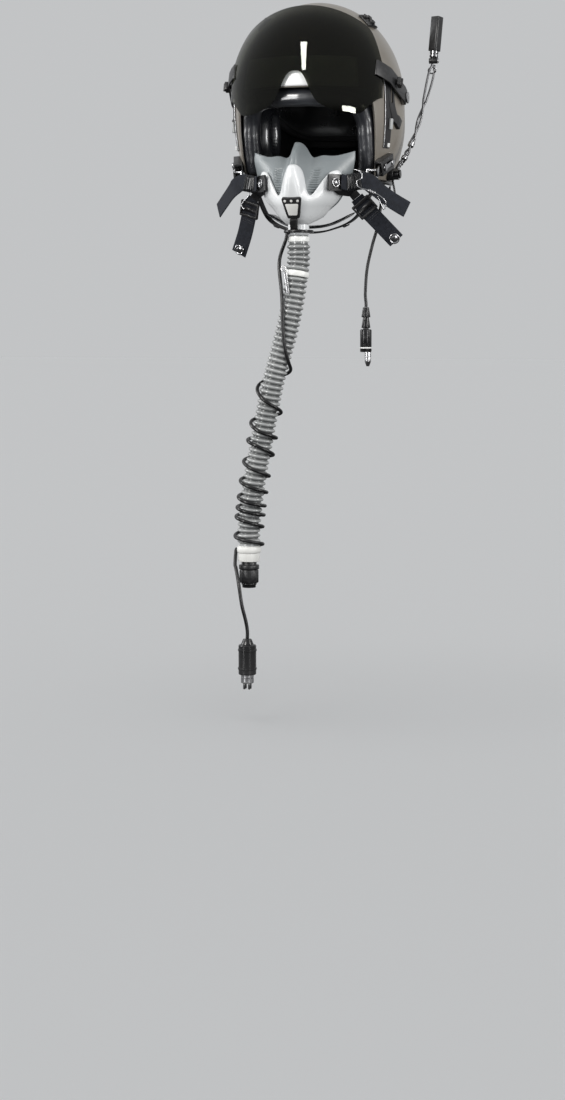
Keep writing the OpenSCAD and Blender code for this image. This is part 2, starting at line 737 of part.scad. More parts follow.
module mic_screws() {
    color(white) for (x = [-9, 0, 9]) at_plate() translate([x, -3.5, plate_t - plate_back + 0.05])
        cylinder(r = 1.8, h = 1, $fn = 24);
}
stem_w = 10;
module mic_stem() {
    color(black) hull() {
        at_plate() translate([-stem_w / 2, 1 - plate_len - 2, 0.6]) cube([stem_w, 1.4, 5]);
        translate([-stem_w / 2 - 2, port_y - port_ring_r + 1.4, port_ring_z + 4.05]) cube([stem_w, 4, 1.5]);
    }
}

// Strap tabs on the cheeks and small buckles below them
tab_s = 0.37;
tab_t = 0.74;
function side_frame(side) = [mirror_x(cover_point(tab_s, tab_t), side),
    mirror_x(mask_out(tab_s, tab_t), side)];
function mirror_x(p, side) = [side * p[0], p[1], p[2]];
module at_tab(side) {
    f = side_frame(side);
    n = unit([f[1][0], f[1][1], 0]);
    translate(f[0] + n * 1.4) rotate([90, 0, atan2(n[1], n[0]) + 90]) children();
}
// Tongue from the tab to the lower strap
tongue = [[54.2, -116, -95.6], [58, -107.8, -99.6], [63, -97.6, -100.4], [68.3, -85.7, -100.7]];
tongue_end = [73.7, -82.3, -107.6];
module strap_tabs() {
    color(black) for (side = [-1, 1]) {
        at_tab(side) linear_extrude(3.2) offset(r = 3, $fn = 32) square([18, 17], center = true);
        band([for (p = concat(tongue, [tongue_end])) mirror_x(p, side)], 13, 2.6, [side * 0.7, 0, 0.7]);
    }
}
module tab_screws() {
    color(silver) for (side = [-1, 1]) at_tab(side) translate([0, 0, 3.2]) {
        cylinder(r = 6.5, h = 1.2, $fn = 40);
        translate([0, 0, 1.2]) cylinder(r1 = 4.4, r2 = 3.2, h = 1.6, $fn = 32);
    }
}

// Mask webbing: a strap from each tab over the bayonet's bar to its free tail, and a strap below it
link_bar = [90, -90, -83];
upper_left = [[60.4, -116.6, -87.6], [67.6, -106, -89], [77, -99, -87], [90, -94, -86], [103, -91, -96],
    [121, -77, -111], [141, -64, -124]];
upper_right = [[60.4, -116.6, -87.6], [67.6, -106, -89], [77, -99, -87], [90, -94, -86], [102, -91, -95],
    [117, -78, -109], [131, -64, -122]];
lower_left = [[74, -82, -108], [84, -76, -121], [103, -62, -143], [123, -48, -166]];
lower_right = [[74, -82, -108], [80, -78.4, -116], [84, -73, -130], [93, -62, -155], [106, -48, -182]];
module webbing(upper, lower, side) {
    turn = function(p) mirror_x(p, side);
    band([for (p = curve(upper, 14)) turn(p)], web_w, web_t, [0, 0.1, 1]);
    band([for (p = curve(lower, 10)) turn(p)], web_w, web_t, [side * 0.7, 0, 0.7]);
}
module mask_straps_left() {
    color(web) webbing(upper_left, lower_left, 1);
}
module mask_straps_right() {
    color(web) webbing(upper_right, lower_right, -1);
}
module strap_snaps() {
    color(silver) for (q = [[lower_left, 1], [lower_right, -1]]) {
        p = mirror_x(curve_at(q[0], 0.93), q[1]);
        n = unit(cross(mirror_x(curve_dir(q[0], 0.93), q[1]), [q[1] * 0.7, 0, 0.7]));
        out = n[1] > 0 ? -n : n;
        aim(p + out * (web_t / 2 + 0.05), out) cylinder(r1 = 7.5, r2 = 6, h = 2.4, $fn = 40);
    }
}

// Bayonets: a blade in the receiver's channel, with a loop for the strap
blade_t = 2.4;
blade_x = -3.1;
module rod(a, b, r) {
    aim(a, b - a) cylinder(r = r, h = norm(b - a), $fn = 20);
}
blade_front = -34;
function blade_end(z) =
    [receiver_at[0] + shell_out + blade_x,
        receiver_at[1] + blade_front * cos(receiver_tilt) - z * sin(receiver_tilt),
     receiver_at[2] + blade_front * sin(receiver_tilt) + z * cos(receiver_tilt)];
module bayonet_left() {
    color(silver) {
        translate([receiver_at[0] + shell_out + blade_x, receiver_at[1], receiver_at[2]])
            rotate([receiver_tilt, 0, 0]) translate([-blade_t / 2, blade_front - 2, -slot_h / 2 + 1])
                cube([blade_t, 30, slot_h - 2]);
        for (z = [-4.5, 4.5]) rod(blade_end(z), link_bar + [0, 0, z * 2.7], 1.6);
        rod(link_bar - [0, 0, 13.5], link_bar + [0, 0, 13.5], 1.6);
    }
}
module bayonet_right() {
    mirror([1, 0, 0]) bayonet_left();
}

// Hose: its route, its ribs and its bore

hose_route = [[0, -118, -160], [0, -118, -177], [0, -118, -194], [-2, -121, -215], [-6, -124, -248],
    [-13, -127, -285], [-22, -129, -320], [-33, -130, -360], [-42, -130, -403], [-51, -130, -450],
    [-60, -130, -497], [-66, -129, -540],
    [-69, -128, -566], [-69, -128, -583], [-69, -128, -600]];
hose_line = curve(hose_route, 140);
hose_marks = [for (i = 0, s = 0; i < len(hose_line);
    s = s + (i + 1 < len(hose_line) ? norm(hose_line[i + 1] - hose_line[i]) : 0), i = i + 1) s];
hose_len = hose_marks[len(hose_marks) - 1];
hose_index = [for (i = [0:len(hose_marks) - 1]) [hose_marks[i], i / (len(hose_marks) - 1)]];
function hose_at(s) = curve_at(hose_route, lookup(s, hose_index));
function hose_dir(s) = curve_dir(hose_route, lookup(s, hose_index));
neck = 12;
neck_r = 13.2;
rib_depth = 2.6;
hose_sides = 8;
module hose() {
    pitch = (hose_len - 2 * neck) / hose_ribs;
    stations = concat([[0, neck_r], [neck - 1, neck_r]],
        [for (i = [0:hose_ribs - 1]) each [[neck + i * pitch, hose_r - rib_depth],
            [neck + (i + 0.5) * pitch, hose_r]]],
        [[hose_len - neck, hose_r - rib_depth], [hose_len - neck + 1, neck_r], [hose_len, neck_r]]);
    bore_r = hose_bore / 2 / cos(180 / hose_sides);
    inner = [for (i = [24:-1:0]) i / 24 * hose_len];
    color(grey) ring_loft(concat(
        [for (q = stations) ring(hose_at(q[0]), hose_dir(q[0]), [0, -1, 0], q[1], hose_sides)],
        [for (s = inner) ring(hose_at(s), hose_dir(s), [0, -1, 0], bore_r, hose_sides)]));
}
hose_top = hose_route[0];
hose_end = hose_route[len(hose_route) - 1];
clamp_t = 1.6;
module hose_clamp() {
    color(white) translate([hose_top[0], hose_top[1], hose_top[2] - 9]) difference() {
        cylinder(r = neck_r + play + clamp_t, h = 7, $fn = 48);
        translate([0, 0, -1]) cylinder(r = neck_r + play, h = 9, $fn = 48);
    }
}

// Connector at the hose's free end, with a collar that turns
module at_end(z) {
    translate(hose_end + [0, 0, z]) children();
}
stub_r = 10.6;
connector_bore = 8;
module hose_cuff() {
    color(white) at_end(-13) difference() {
        cylinder(r = neck_r + play + 1.8, h = 22, $fn = 48);
        translate([0, 0, -1]) cylinder(r = stub_r + play, h = 40, $fn = 48);
        translate([0, 0, 12.5]) cylinder(r = neck_r + play, h = 12, $fn = 48);
    }
}
module hose_connector() {
    color(black) at_end(-50) difference() {
        union() {
            translate([0, 0, 20]) cylinder(r = stub_r, h = 44, $fn = 48);
            translate([0, 0, 26]) cylinder(r = 14.2, h = 6, $fn = 48);
            cylinder(r = 9.6, h = 28, $fn = 48);
            translate([0, 0, 4]) cylinder(r = 10.8, h = 2.4, $fn = 48);
        }
        translate([0, 0, -1]) cylinder(r = connector_bore, h = 80, $fn = 48);
    }
}
module connector_collar() {
    color(black) at_end(-50 + 7) difference() {
        union() {
            cylinder(r = 13, h = 18, $fn = 48);
            for (a = [0:30:330]) rotate(a) translate([12.8, 0, 1]) cylinder(r = 1, h = 16, $fn = 16);
        }
        translate([0, 0, -1]) cylinder(r = 10.6 + play, h = 20, $fn = 48);
    }
}

// Microphone cord: it leaves the port's ring, follows the hose, winds round it and ends in a plug.
// Free part: length along the hose, turn from the front toward the wearer's left, and distance from the
// hose's centre
cord_near = hose_r + mic_cord_d / 2 + 0.7;
cord_free = [[0, -49, 17.6], [8, -52, 18.2], [16, -62, 22], [28, -74, 27], [42, -78, 28.5], [58, -66, 24],
    [75, -50, cord_near + 0.6], [90, -38, cord_near], [105, -26, cord_near], [120, -13, cord_near],
        [135, 0, cord_near],
    [150, 14, cord_near], [163, 34, cord_near], [172, 56, cord_near]];
// Where each turn crosses the hose's front, as a length along the hose
cord_turns = [[75, 178], [360, 233], [720, 276], [1080, 296], [1440, 329], [1800, 354], [2160, 376],
    [2520, 389], [2880, 402], [3240, 430], [3510, 446]];
turn_step = 22.5;
function cord_point(s, turn, reach) =
    let (p = hose_at(s), d = hose_dir(s), u = unit(cross(d, [0, 1, 0])), v = cross(u, d))
    p + reach * (cos(turn) * [v[0], v[1], v[2]] * (v[1] > 0 ? -1 : 1) + sin(turn) * u * (u[0] < 0 ? -1 : 1));
cord_tail = [[-86, -140, -616], [-80, -149, -632], [-75, -156, -650], [-71, -158, -672], [-66, -156, -694],
    [-64, -155, -708], [-64, -155, -719]];
cord_start = [cord_point(0, -49, 17.6) + [0, 0, 3]];
mic_cord_path = concat(cord_start, [for (q = cord_free) cord_point(q[0], q[1], q[2])],
    [for (a = [75:turn_step:3510]) cord_point(lookup(a, cord_turns), a, cord_near)], curve(cord_tail, 16));
function least(list, i = 0, best = 1e9) = i == len(list) ? best : least(list, i + 1, min(best, list[i]));
echo(cord_gap = min([for (i = [0:len(mic_cord_path) - 1])
    min([for (j = [i + 7:max(i + 7, len(mic_cord_path) - 1)])
        j < len(mic_cord_path) ? norm(mic_cord_path[i] - mic_cord_path[j]) : 1e9])]) - mic_cord_d);
module mic_cord() {
    color(black) tube(mic_cord_path, mic_cord_d / 2, 6, [0.3, -0.2, 0.93]);
}
plug_at = cord_tail[len(cord_tail) - 1];
module mic_plug() {
    color(black) translate(plug_at - [0, 0, play]) rotate([180, 0, 0]) {
        cylinder(r1 = 6, r2 = 9, h = 8, $fn = 40);
        translate([0, 0, 8]) cylinder(r = 12.4, h = 42, $fn = 48);
        for (z = [14, 40]) translate([0, 0, z]) cylinder(r = 13.2, h = 3, $fn = 48);
    }
    color(silver) translate(plug_at - [0, 0, play + 50]) rotate([180, 0, 0]) {
        cylinder(r = 9, h = 12, $fn = 40);
        for (a = [45:90:315]) rotate(a) translate([5, 0, 12]) cylinder(r = 1.6, h = 9, $fn = 16);
    }
}

// Boom microphone: a base on the shell, two wires twisted together, and a block at the elbow
boom_pivot = [112, -15, -72];
boom_route = [[121, -13, -58], [127, -8, -46], [136, 5, -20], [148, 24, 35], [157, 37, 84]];
boom_pin_r = 3.4;
knuckle_t = 7;
module boom_base() {
    color(black) translate([shell_out, 0, 0]) off_shell() translate([0, boom_pivot[1], boom_pivot[2]]) {
        bar_x(92, boom_pivot[0], 9, 40);
        bar_x(boom_pivot[0] - 1, boom_pivot[0] + knuckle_t + 2 * play + 1, boom_pin_r);
        bar_x(boom_pivot[0] + knuckle_t + 2 * play, boom_pivot[0] + knuckle_t + 2 * play + 2, 6);
    }
}
twist = 1150;
function wire_spread(t) = 2.1 + 2.6 * ease((t - 0.68) / 0.2) * (1 - ease((t - 0.9) / 0.1));
module boom_arm() {
    color(silver) translate([shell_out, 0, 0]) {
        for (k = [0, 180]) tube([for (i = [0:40])
            let (t = i / 40, p = curve_at(boom_route, t), d = curve_dir(boom_route, t),
                u = unit(cross(d, [0, 1, 0])), v = cross(u, d),
                a = k + twist * min(t, 0.74))
            p + wire_spread(t) * (cos(a) * u + sin(a) * v)], wire_d / 2, 6, [1, 0.1, 0.1]);
        difference() {
            union() {
                translate([0, boom_pivot[1], boom_pivot[2]])
                    bar_x(boom_pivot[0] + play, boom_pivot[0] + play + knuckle_t, 8, 40);
                aim(boom_pivot + [knuckle_t / 2 + 0.6, 0, 7], [5.5, 2.5, 10])
                    cylinder(r = 3.2, h = 12, $fn = 32);
            }
            translate([0, boom_pivot[1], boom_pivot[2]])
                bar_x(boom_pivot[0] - 2, boom_pivot[0] + knuckle_t + 4, boom_pin_r + play, 32);
        }
    }
}
elbow_up = 5.2;
module boom_mic() {
    elbow = boom_route[len(boom_route) - 1] + [shell_out, 0, 0];
    top = elbow + [4, 8, 66];
    color(black) {
        aim(elbow + [0, 0, elbow_up], top - elbow) translate([0, 0, 66 - mic_len])
            linear_extrude(mic_len - 4) offset(r = 2.5, $fn = 24)
                square([mic_w - 5, mic_w - 4], center = true);
        aim(elbow + [0, 0, elbow_up], top - elbow) cylinder(r = 3, h = 70 - mic_len, $fn = 24);
    }
    color(silver) translate(elbow + [0, 0, elbow_up]) bar_x(-6, 6, 4, 32);
}
lead_d = 3;
lead_route = [[110, -15, -81.2], [112, -16, -90], [117, -20, -100], [113, -22, -110], [104, -12, -106],
    [102, 2, -96],
    [102, 4, -88]];
module boom_lead() {
    color(black) tube(curve(lead_route, 18), lead_d / 2, 6, [0.2, 1, 0.3]);
}

// Headset cord: from a gland inside the shell to its plug
head_route = [[94, -4, -72.3], [94, -4, -84], [94, -9, -101], [93, -20, -124], [91, -29, -148],
    [85, -32, -171],
    [78, -34, -204], [76, -36, -238], [77, -36, -252], [77, -36, -258]];
module cord_gland() {
    color(black) difference() {
        translate([88, -12, -72]) cube([side_x(-12, -72) - shell_wall - gap - 88, 16, 12]);
        translate([94, -4, -73]) cylinder(r = 1, h = 2, $fn = 16);
    }
}
module head_cord() {
    color(black) tube(curve(head_route, 28), head_cord_d / 2, 8, [0.2, 1, 0.1]);
}
head_end = head_route[len(head_route) - 1];
module head_plug() {
    translate(head_end - [0, 0, play]) rotate([180, 0, 0]) {
        color(black) {
            for (z = [0, 15]) translate([0, 0, z]) cylinder(r1 = 4, r2 = 6.4, h = 14, $fn = 32);
            cylinder(r = 3.8, h = 32, $fn = 32);
            translate([0, 0, 31]) cylinder(r = 8.2, h = 32, $fn = 40);
        }
        color(silver) translate([3, 0, 62]) {
            cylinder(r = 4.6, h = 14, $fn = 32);
            translate([0, 0, 14]) cylinder(r1 = 4.6, r2 = 2, h = 7, $fn = 32);
        }
    }
}

shell();
brow_panel();
impact_liner();
fit_liner();
edge_roll();
edge_bead();
earcup_left();
earcup_right();
ear_cushion_left();
ear_cushion_right();
earphone_left();
earphone_right();
nape_pad();
chin_strap();
chin_pad();
chin_snaps();
crown_clips();
receiver_left();
receiver_right();
latch_left();
latch_right();
track_left();
track_right();
pivot_left();
pivot_right();
visor_lens();
visor_arm_left();
visor_arm_right();
visor_lock_left();
visor_lock_right();
mask_shell();
face_form();
hose_port();
port_ring();
mic_plate();
mic_window();
mic_stem();
mic_screws();
strap_tabs();
tab_screws();
mask_straps_left();
mask_straps_right();
strap_snaps();
bayonet_left();
bayonet_right();
hose();
hose_clamp();
hose_cuff();
hose_connector();
connector_collar();
mic_cord();
mic_plug();
boom_base();
boom_arm();
boom_mic();
boom_lead();
cord_gland();
head_cord();
head_plug();
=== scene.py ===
import json
import math
import bpy
import bmesh
import numpy as np
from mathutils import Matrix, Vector, noise


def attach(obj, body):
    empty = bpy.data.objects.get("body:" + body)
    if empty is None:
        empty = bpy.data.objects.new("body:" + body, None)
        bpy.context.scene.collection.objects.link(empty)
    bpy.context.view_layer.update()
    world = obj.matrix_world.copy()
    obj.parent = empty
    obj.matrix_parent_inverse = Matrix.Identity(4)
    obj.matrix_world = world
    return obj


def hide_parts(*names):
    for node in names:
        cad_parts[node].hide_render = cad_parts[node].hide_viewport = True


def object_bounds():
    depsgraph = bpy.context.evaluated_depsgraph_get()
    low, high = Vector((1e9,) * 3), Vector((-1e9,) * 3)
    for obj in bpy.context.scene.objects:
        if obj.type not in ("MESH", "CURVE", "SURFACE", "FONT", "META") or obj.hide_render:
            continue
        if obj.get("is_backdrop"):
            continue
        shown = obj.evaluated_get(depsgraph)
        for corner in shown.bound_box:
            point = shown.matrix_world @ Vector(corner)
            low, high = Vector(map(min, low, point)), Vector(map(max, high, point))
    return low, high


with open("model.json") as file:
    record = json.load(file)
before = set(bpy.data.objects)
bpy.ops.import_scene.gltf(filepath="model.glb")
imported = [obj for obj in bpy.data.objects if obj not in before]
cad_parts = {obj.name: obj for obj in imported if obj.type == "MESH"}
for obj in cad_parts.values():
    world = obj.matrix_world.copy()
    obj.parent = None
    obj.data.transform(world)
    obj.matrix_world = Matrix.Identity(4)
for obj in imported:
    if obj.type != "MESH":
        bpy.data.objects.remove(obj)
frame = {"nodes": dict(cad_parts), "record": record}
cadLow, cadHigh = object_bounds()
nodes = frame["nodes"]
record = frame["record"]
bodyOf = {n: body for body, group in record["behaviour"]["bodies"].items() for n in group}
slotOf = {row["node"]: row["material_slot"] for row in record["subparts"]}
worldScene = bpy.context.scene
bothSides = ((1, "left"), (-1, "right"))

# camera: a long lens a little above the mask, as in the photograph
cameraSet = {"place": (0.7712, -3.0931, -0.2789), "turn": 14.947, "tip": -5.9, "lens": 72.23, "sensor": 36}
cameraData = bpy.data.cameras.new("camera")
cameraData.sensor_fit = "VERTICAL"
cameraData.sensor_height = cameraSet["sensor"]
cameraData.lens = cameraSet["lens"]
camera = bpy.data.objects.new("camera", cameraData)
worldScene.collection.objects.link(camera)
camera.location = cameraSet["place"]
camera.rotation_euler = (math.radians(90 + cameraSet["tip"]), 0, math.radians(cameraSet["turn"]))
worldScene.camera = camera
print("camera placed")


# small helpers, in millimetres as the helmet was drawn
def mix(a, b, t):
    return a + (b - a) * t


def clip(t):
    return min(1.0, max(0.0, t))


def ease(t):
    u = clip(t)
    return u * u * (3 - 2 * u)


def bell(x, width, power=2):
    return math.exp(-abs(x / width) ** power)


def unit(v):
    v = np.asarray(v, float)
    return v / max(np.linalg.norm(v), 1e-12)


def facing(n, way):
    return n if np.dot(n, way) > 0 else -n


def curveAt(p, t):
    n = len(p) - 1
    u = clip(t) * n
    i = min(n - 1, int(u))
    f = u - i
    a, b, c, d = (np.array(p[k], float) for k in (max(0, i - 1), i, i + 1, min(n, i + 2)))
    return 0.5 * (2 * b + (c - a) * f + (2 * a - 5 * b + 4 * c - d) * f * f + (3 * b - a - 3 * c + d) * f ** 3)


def curvePoints(p, n):
    return [curveAt(p, i / n) for i in range(n + 1)]


def curveDir(p, t):
    return unit(curveAt(p, t + 0.004) - curveAt(p, t - 0.004))


def mirrored(p):
    return [-p[0], p[1], p[2]]


def onSide(line, side):
    return [[side * p[0], p[1], p[2]] for p in line]


def wayAt(path, i):
    return unit(np.array(path[min(len(path) - 1, i + 1)]) - np.array(path[max(0, i - 1)]))


def runMarks(line):
    # how far along the line each of its points is
    steps = [np.linalg.norm(np.array(b) - np.array(a)) for a, b in zip(line, line[1:])]
    return np.concatenate([[0], np.cumsum(steps)])


def relaxed(line, times, last=None):
    # evens out bends and leaves the ends where they are
    line = np.array(line, float)
    stop = last or len(line) - 1
    for _ in range(times):
        line[1:stop] += 0.5 * ((line[:stop - 1] + line[2:stop + 1]) / 2 - line[1:stop])
    return line


def rough(p, size, depth=2):
    return noise.fractal(Vector(p) / size, 1.0, 2.0, depth)


def shadeSmooth(mesh):
    mesh.polygons.foreach_set("use_smooth", [True] * len(mesh.polygons))


def sharpen(piece, degrees):
    piece.data.set_sharp_from_angle(angle=math.radians(degrees))


def linkObject(name, mesh):
    piece = bpy.data.objects.new(name, mesh)
    worldScene.collection.objects.link(piece)
    return piece


def meshPiece(name, points, faces, material, uvs=None, smooth=True):
    mesh = bpy.data.meshes.new(name)
    inMetres = [(p[0] / 1000, p[1] / 1000, p[2] / 1000) for p in points]
    mesh.from_pydata(inMetres, [], [tuple(int(k) for k in f) for f in faces])
    if uvs is not None:
        layer = mesh.uv_layers.new(name="UVMap")
        loopVerts = np.zeros(len(mesh.loops), int)
        mesh.loops.foreach_get("vertex_index", loopVerts)
        layer.data.foreach_set("uv", np.asarray(uvs, float)[loopVerts].ravel())
    mesh.validate()
    shaped = bmesh.new()
    shaped.from_mesh(mesh)
    bmesh.ops.recalc_face_normals(shaped, faces=shaped.faces)
    shaped.to_mesh(mesh)
    shaped.free()
    if smooth:
        shadeSmooth(mesh)
    mesh.materials.append(material)
    return linkObject(name, mesh)


def gridFaces(n, m, start=0, wrap=False):
    faces = []
    for i in range(n - 1):
        for j in range(m if wrap else m - 1):
            a, b = start + i * m + j, start + i * m + (j + 1) % m
            faces.append((a, b, b + m, a + m))
    return faces


def sheetPiece(name, outer, inner, material):
    # a closed skin from two grids of points
    n, m = len(outer), len(outer[0])
    nm = n * m
    points = [p for row in outer for p in row] + [p for row in inner for p in row]
    faces = gridFaces(n, m) + gridFaces(n, m, nm)
    border = list(range(m)) + [i * m + m - 1 for i in range(1, n)]
    border += [(n - 1) * m + j for j in range(m - 2, -1, -1)] + [i * m for i in range(n - 2, 0, -1)]
    for a, b in zip(border, border[1:] + border[:1]):
        faces.append((a, b, b + nm, a + nm))
    return meshPiece(name, points, faces, material)


def loftPiece(name, rings, material, closed=False, uvs=None):
    n, m = len(rings), len(rings[0])
    points = [p for r in rings for p in r]
    faces = gridFaces(n, m, 0, True)
    last = (n - 1) * m
    if closed:
        faces += [(last + j, last + (j + 1) % m, (j + 1) % m, j) for j in range(m)]
    else:
        faces += [tuple(range(m)), tuple(last + j for j in range(m))]
    return meshPiece(name, points, faces, material, uvs)


def ringAt(p, d, side, r, sides, bump=None):
    v = unit(np.cross(d, side))
    u = np.cross(v, d)
    points = []
    for j in range(sides):
        a = 2 * math.pi * j / sides
        n = math.cos(a) * u + math.sin(a) * v
        points.append(p + n * (r + (bump(a, n) if bump else 0)))
    return points


def tubePiece(name, path, r, material, sides=12, side=(0.02, -1, 0.02)):
    rings, uvs, run = [], [], 0
    reach = r if callable(r) else (lambda t: r)
    for i, p in enumerate(path):
        if i:
            run += np.linalg.norm(np.array(p) - np.array(path[i - 1]))
        t = i / (len(path) - 1)
        rings.append(ringAt(np.array(p, float), wayAt(path, i), side, reach(t), sides))
        uvs += [(j / sides * 2 * math.pi * reach(t) / 1000, run / 1000) for j in range(sides)]
    return loftPiece(name, rings, material, False, uvs)


def steppedTube(name, points, radii, material, side):
    # a crimp or a sleeve, with one radius for each point
    return tubePiece(name, points, lambda t: radii[round(t * (len(radii) - 1))], material, 24, side)


def circleLine(centre, u, v):
    return [centre + math.cos(a) * u + math.sin(a) * v for a in np.linspace(0, 2 * math.pi, 37)]


def bandPiece(name, path, w, t, material, across=(0, 0, 1), roundness=0.35, width=None):
    # webbing along a path, with rounded edges and UVs in metres
    rings, uvs, run = [], [], 0
    for i, p in enumerate(path):
        p = np.array(p, float)
        if i:
            run += np.linalg.norm(p - np.array(path[i - 1]))
        d = wayAt(path, i)
        n = unit(np.cross(d, across))
        s = np.cross(n, d)
        half = w * (width(i / (len(path) - 1)) if width else 1) / 2
        edge = min(t * roundness * 2, half / 2)
        top = [(-half + edge * 0.3, 0.75), (-half + edge, 1), (-half / 2, 1), (0, 1), (half / 2, 1),
               (half - edge, 1), (half - edge * 0.3, 0.75)]
        outline = [(-half, 0)] + top + [(half, 0)] + [(u, -v) for u, v in top[::-1]]
        rings.append([p + s * u + n * v * (t / 2) for u, v in outline])
        uvs += [((u + half) / 1000, run / 1000) for u, v in outline]
    return loftPiece(name, rings, material, False, uvs)


def axesAt(axis, hint=(0, 0.1, 1)):
    n = unit(axis)
    u = unit(np.cross(hint, n))
    return u, np.cross(n, u), n


def turnedPiece(name, centre, axis, profile, material, sides=36, hollow=False, sharp=0):
    # a form turned about an axis, from (radius, height) pairs
    u, v, n = axesAt(axis)
    turns = [2 * math.pi * j / sides for j in range(sides)]
    rings = [[centre + n * h + r * (math.cos(a) * u + math.sin(a) * v) for a in turns] for r, h in profile]
    piece = loftPiece(name, rings, material, hollow)
    if sharp:
        sharpen(piece, sharp)
    return piece


def dress(piece, *replaced, body=None, slot=None):
    # the piece rides where its first CAD node rides
    first = replaced[0] if replaced else None
    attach(piece, body or bodyOf[first])
    slot or slotOf[first]
    if replaced:
        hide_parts(*replaced)
    return piece


def dressPair(piece, sign, node):
    # one node holds both sides: the left piece stands for it, and the right one rides beside it
    return dress(piece, node) if sign > 0 else dress(piece, body=bodyOf[node], slot=slotOf[node])


def applyModifiers(piece):
    bpy.context.view_layer.update()
    made = bpy.data.meshes.new_from_object(piece.evaluated_get(bpy.context.evaluated_depsgraph_get()))
    piece.modifiers.clear()
    old = piece.data
    piece.data = made
    bpy.data.meshes.remove(old)


def blockPiece(name, centre, axes, sizes, material, edge=0.0):
    signs = ((-1, -1, -1), (1, -1, -1), (1, 1, -1), (-1, 1, -1),
             (-1, -1, 1), (1, -1, 1), (1, 1, 1), (-1, 1, 1))
    corners = [centre + sum(axes[n] * sizes[n] / 2 * k for n, k in enumerate(s)) for s in signs]
    faces = [(0, 3, 2, 1), (4, 5, 6, 7), (0, 1, 5, 4), (1, 2, 6, 5), (2, 3, 7, 6), (3, 0, 4, 7)]
    piece = meshPiece(name, corners, faces, material, None, False)
    if edge:
        bevel = piece.modifiers.new("edges", "BEVEL")
        bevel.width = edge / 1000
        bevel.segments = 3
        applyModifiers(piece)
        shadeSmooth(piece.data)
    return piece


def cutAway(piece, *tools):
    for tool in tools:
        hole = piece.modifiers.new("cut", "BOOLEAN")
        hole.object = tool
        hole.operation = "DIFFERENCE"
        hole.solver = "EXACT"
    applyModifiers(piece)
    for tool in tools:
        bpy.data.objects.remove(tool)
    return piece


def joinPieces(name, parts):
    bpy.ops.object.select_all(action="DESELECT")
    for part in parts:
        part.select_set(True)
    bpy.context.view_layer.objects.active = parts[0]
    bpy.ops.object.join()
    parts[0].name = name
    return parts[0]


# shader groups that several finishes share
def shaderGroup(name, values, *outputs):
    # gives the tree, what comes into it and what goes out of it
    tree = bpy.data.node_groups.new(name, "ShaderNodeTree")
    tree.interface.new_socket(name="Vector", in_out="INPUT", socket_type="NodeSocketVector")
    for label, value in values.items():
        socket = tree.interface.new_socket(name=label, in_out="INPUT", socket_type="NodeSocketFloat")
        socket.default_value = value
    for label in outputs:
        tree.interface.new_socket(name=label, in_out="OUTPUT", socket_type="NodeSocketFloat")
    return tree, tree.nodes.new("NodeGroupInput").outputs, tree.nodes.new("NodeGroupOutput").inputs


def addNode(tree, kind, settings=None, **values):
    # a value goes to the input of its name, or to the input of the number after its i
    node = tree.nodes.new(kind)
    for key, value in (settings or {}).items():
        setattr(node, key, value)
    for key, value in values.items():
        socket = node.inputs[key.title()] if key.title() in node.inputs else node.inputs[int(key[1:])]
        if isinstance(value, bpy.types.NodeSocket):
            tree.links.new(value, socket)
        else:
            socket.default_value = value
    return node


def mathNode(tree, operation, a, b=0.0, clamp=False):
    return addNode(tree, "ShaderNodeMath", {"operation": operation, "use_clamp": clamp}, i0=a, i1=b).outputs[0]


def rampNode(tree, value, low, high, a=0.0, b=1.0):
    smooth = {"interpolation_type": "SMOOTHSTEP"}
    return addNode(tree, "ShaderNodeMapRange", smooth, i0=value, i1=low, i2=high, i3=a, i4=b).outputs[0]


def noiseNode(tree, vector, scale, detail):
    return addNode(tree, "ShaderNodeTexNoise", vector=vector, scale=scale, detail=detail).outputs[0]


def leatherGrainGroup():
    # pebbled cells with soft creases across them
    tree, into, out = shaderGroup("leatherGrain", {"Cell": 700.0, "Crease": 0.5}, "Height", "Tone")
    toEdge = {"feature": "DISTANCE_TO_EDGE"}
    cell = addNode(tree, "ShaderNodeTexVoronoi", toEdge, vector=into["Vector"], scale=into["Cell"])
    pebble = mathNode(tree, "MULTIPLY", rampNode(tree, cell.outputs[0], 0.0, 0.25), 0.35)
    ridges = {"noise_type": "RIDGED_MULTIFRACTAL"}
    crease = addNode(tree, "ShaderNodeTexNoise", ridges, vector=into["Vector"], scale=38.0, detail=3.0)
    fold = mathNode(tree, "MULTIPLY", crease.outputs[0], into["Crease"])
    tree.links.new(mathNode(tree, "ADD", pebble, fold), out["Height"])
    tree.links.new(noiseNode(tree, into["Vector"], 22.0, 4.0), out["Tone"])
    return tree


def clothWeaveGroup():
    # warp and weft of a flat band, from UVs in metres
    tree, into, out = shaderGroup("clothWeave", {"Threads": 520.0}, "Height", "Tone")
    threads = []
    for way in ("X", "Y"):
        bands = {"wave_type": "BANDS", "bands_direction": way}
        wave = addNode(tree, "ShaderNodeTexWave", bands, vector=into["Vector"], scale=into["Threads"],
                       distortion=0.6)
        threads.append(wave.outputs[1])
    fuzz = noiseNode(tree, into["Vector"], 160.0, 5.0)
    height = mathNode(tree, "ADD", mathNode(tree, "MULTIPLY", *threads), mathNode(tree, "MULTIPLY", fuzz, 0.3))
    tree.links.new(height, out["Height"])
    tree.links.new(fuzz, out["Tone"])
    return tree


def mouldedSkinGroup():
    # slight unevenness of moulded or sprayed surfaces
    tree, into, out = shaderGroup("mouldedSkin", {"Grain": 900.0}, "Height", "Tone")
    tree.links.new(noiseNode(tree, into["Vector"], into["Grain"], 3.0), out["Height"])
    tree.links.new(noiseNode(tree, into["Vector"], 14.0, 5.0), out["Tone"])
    return tree


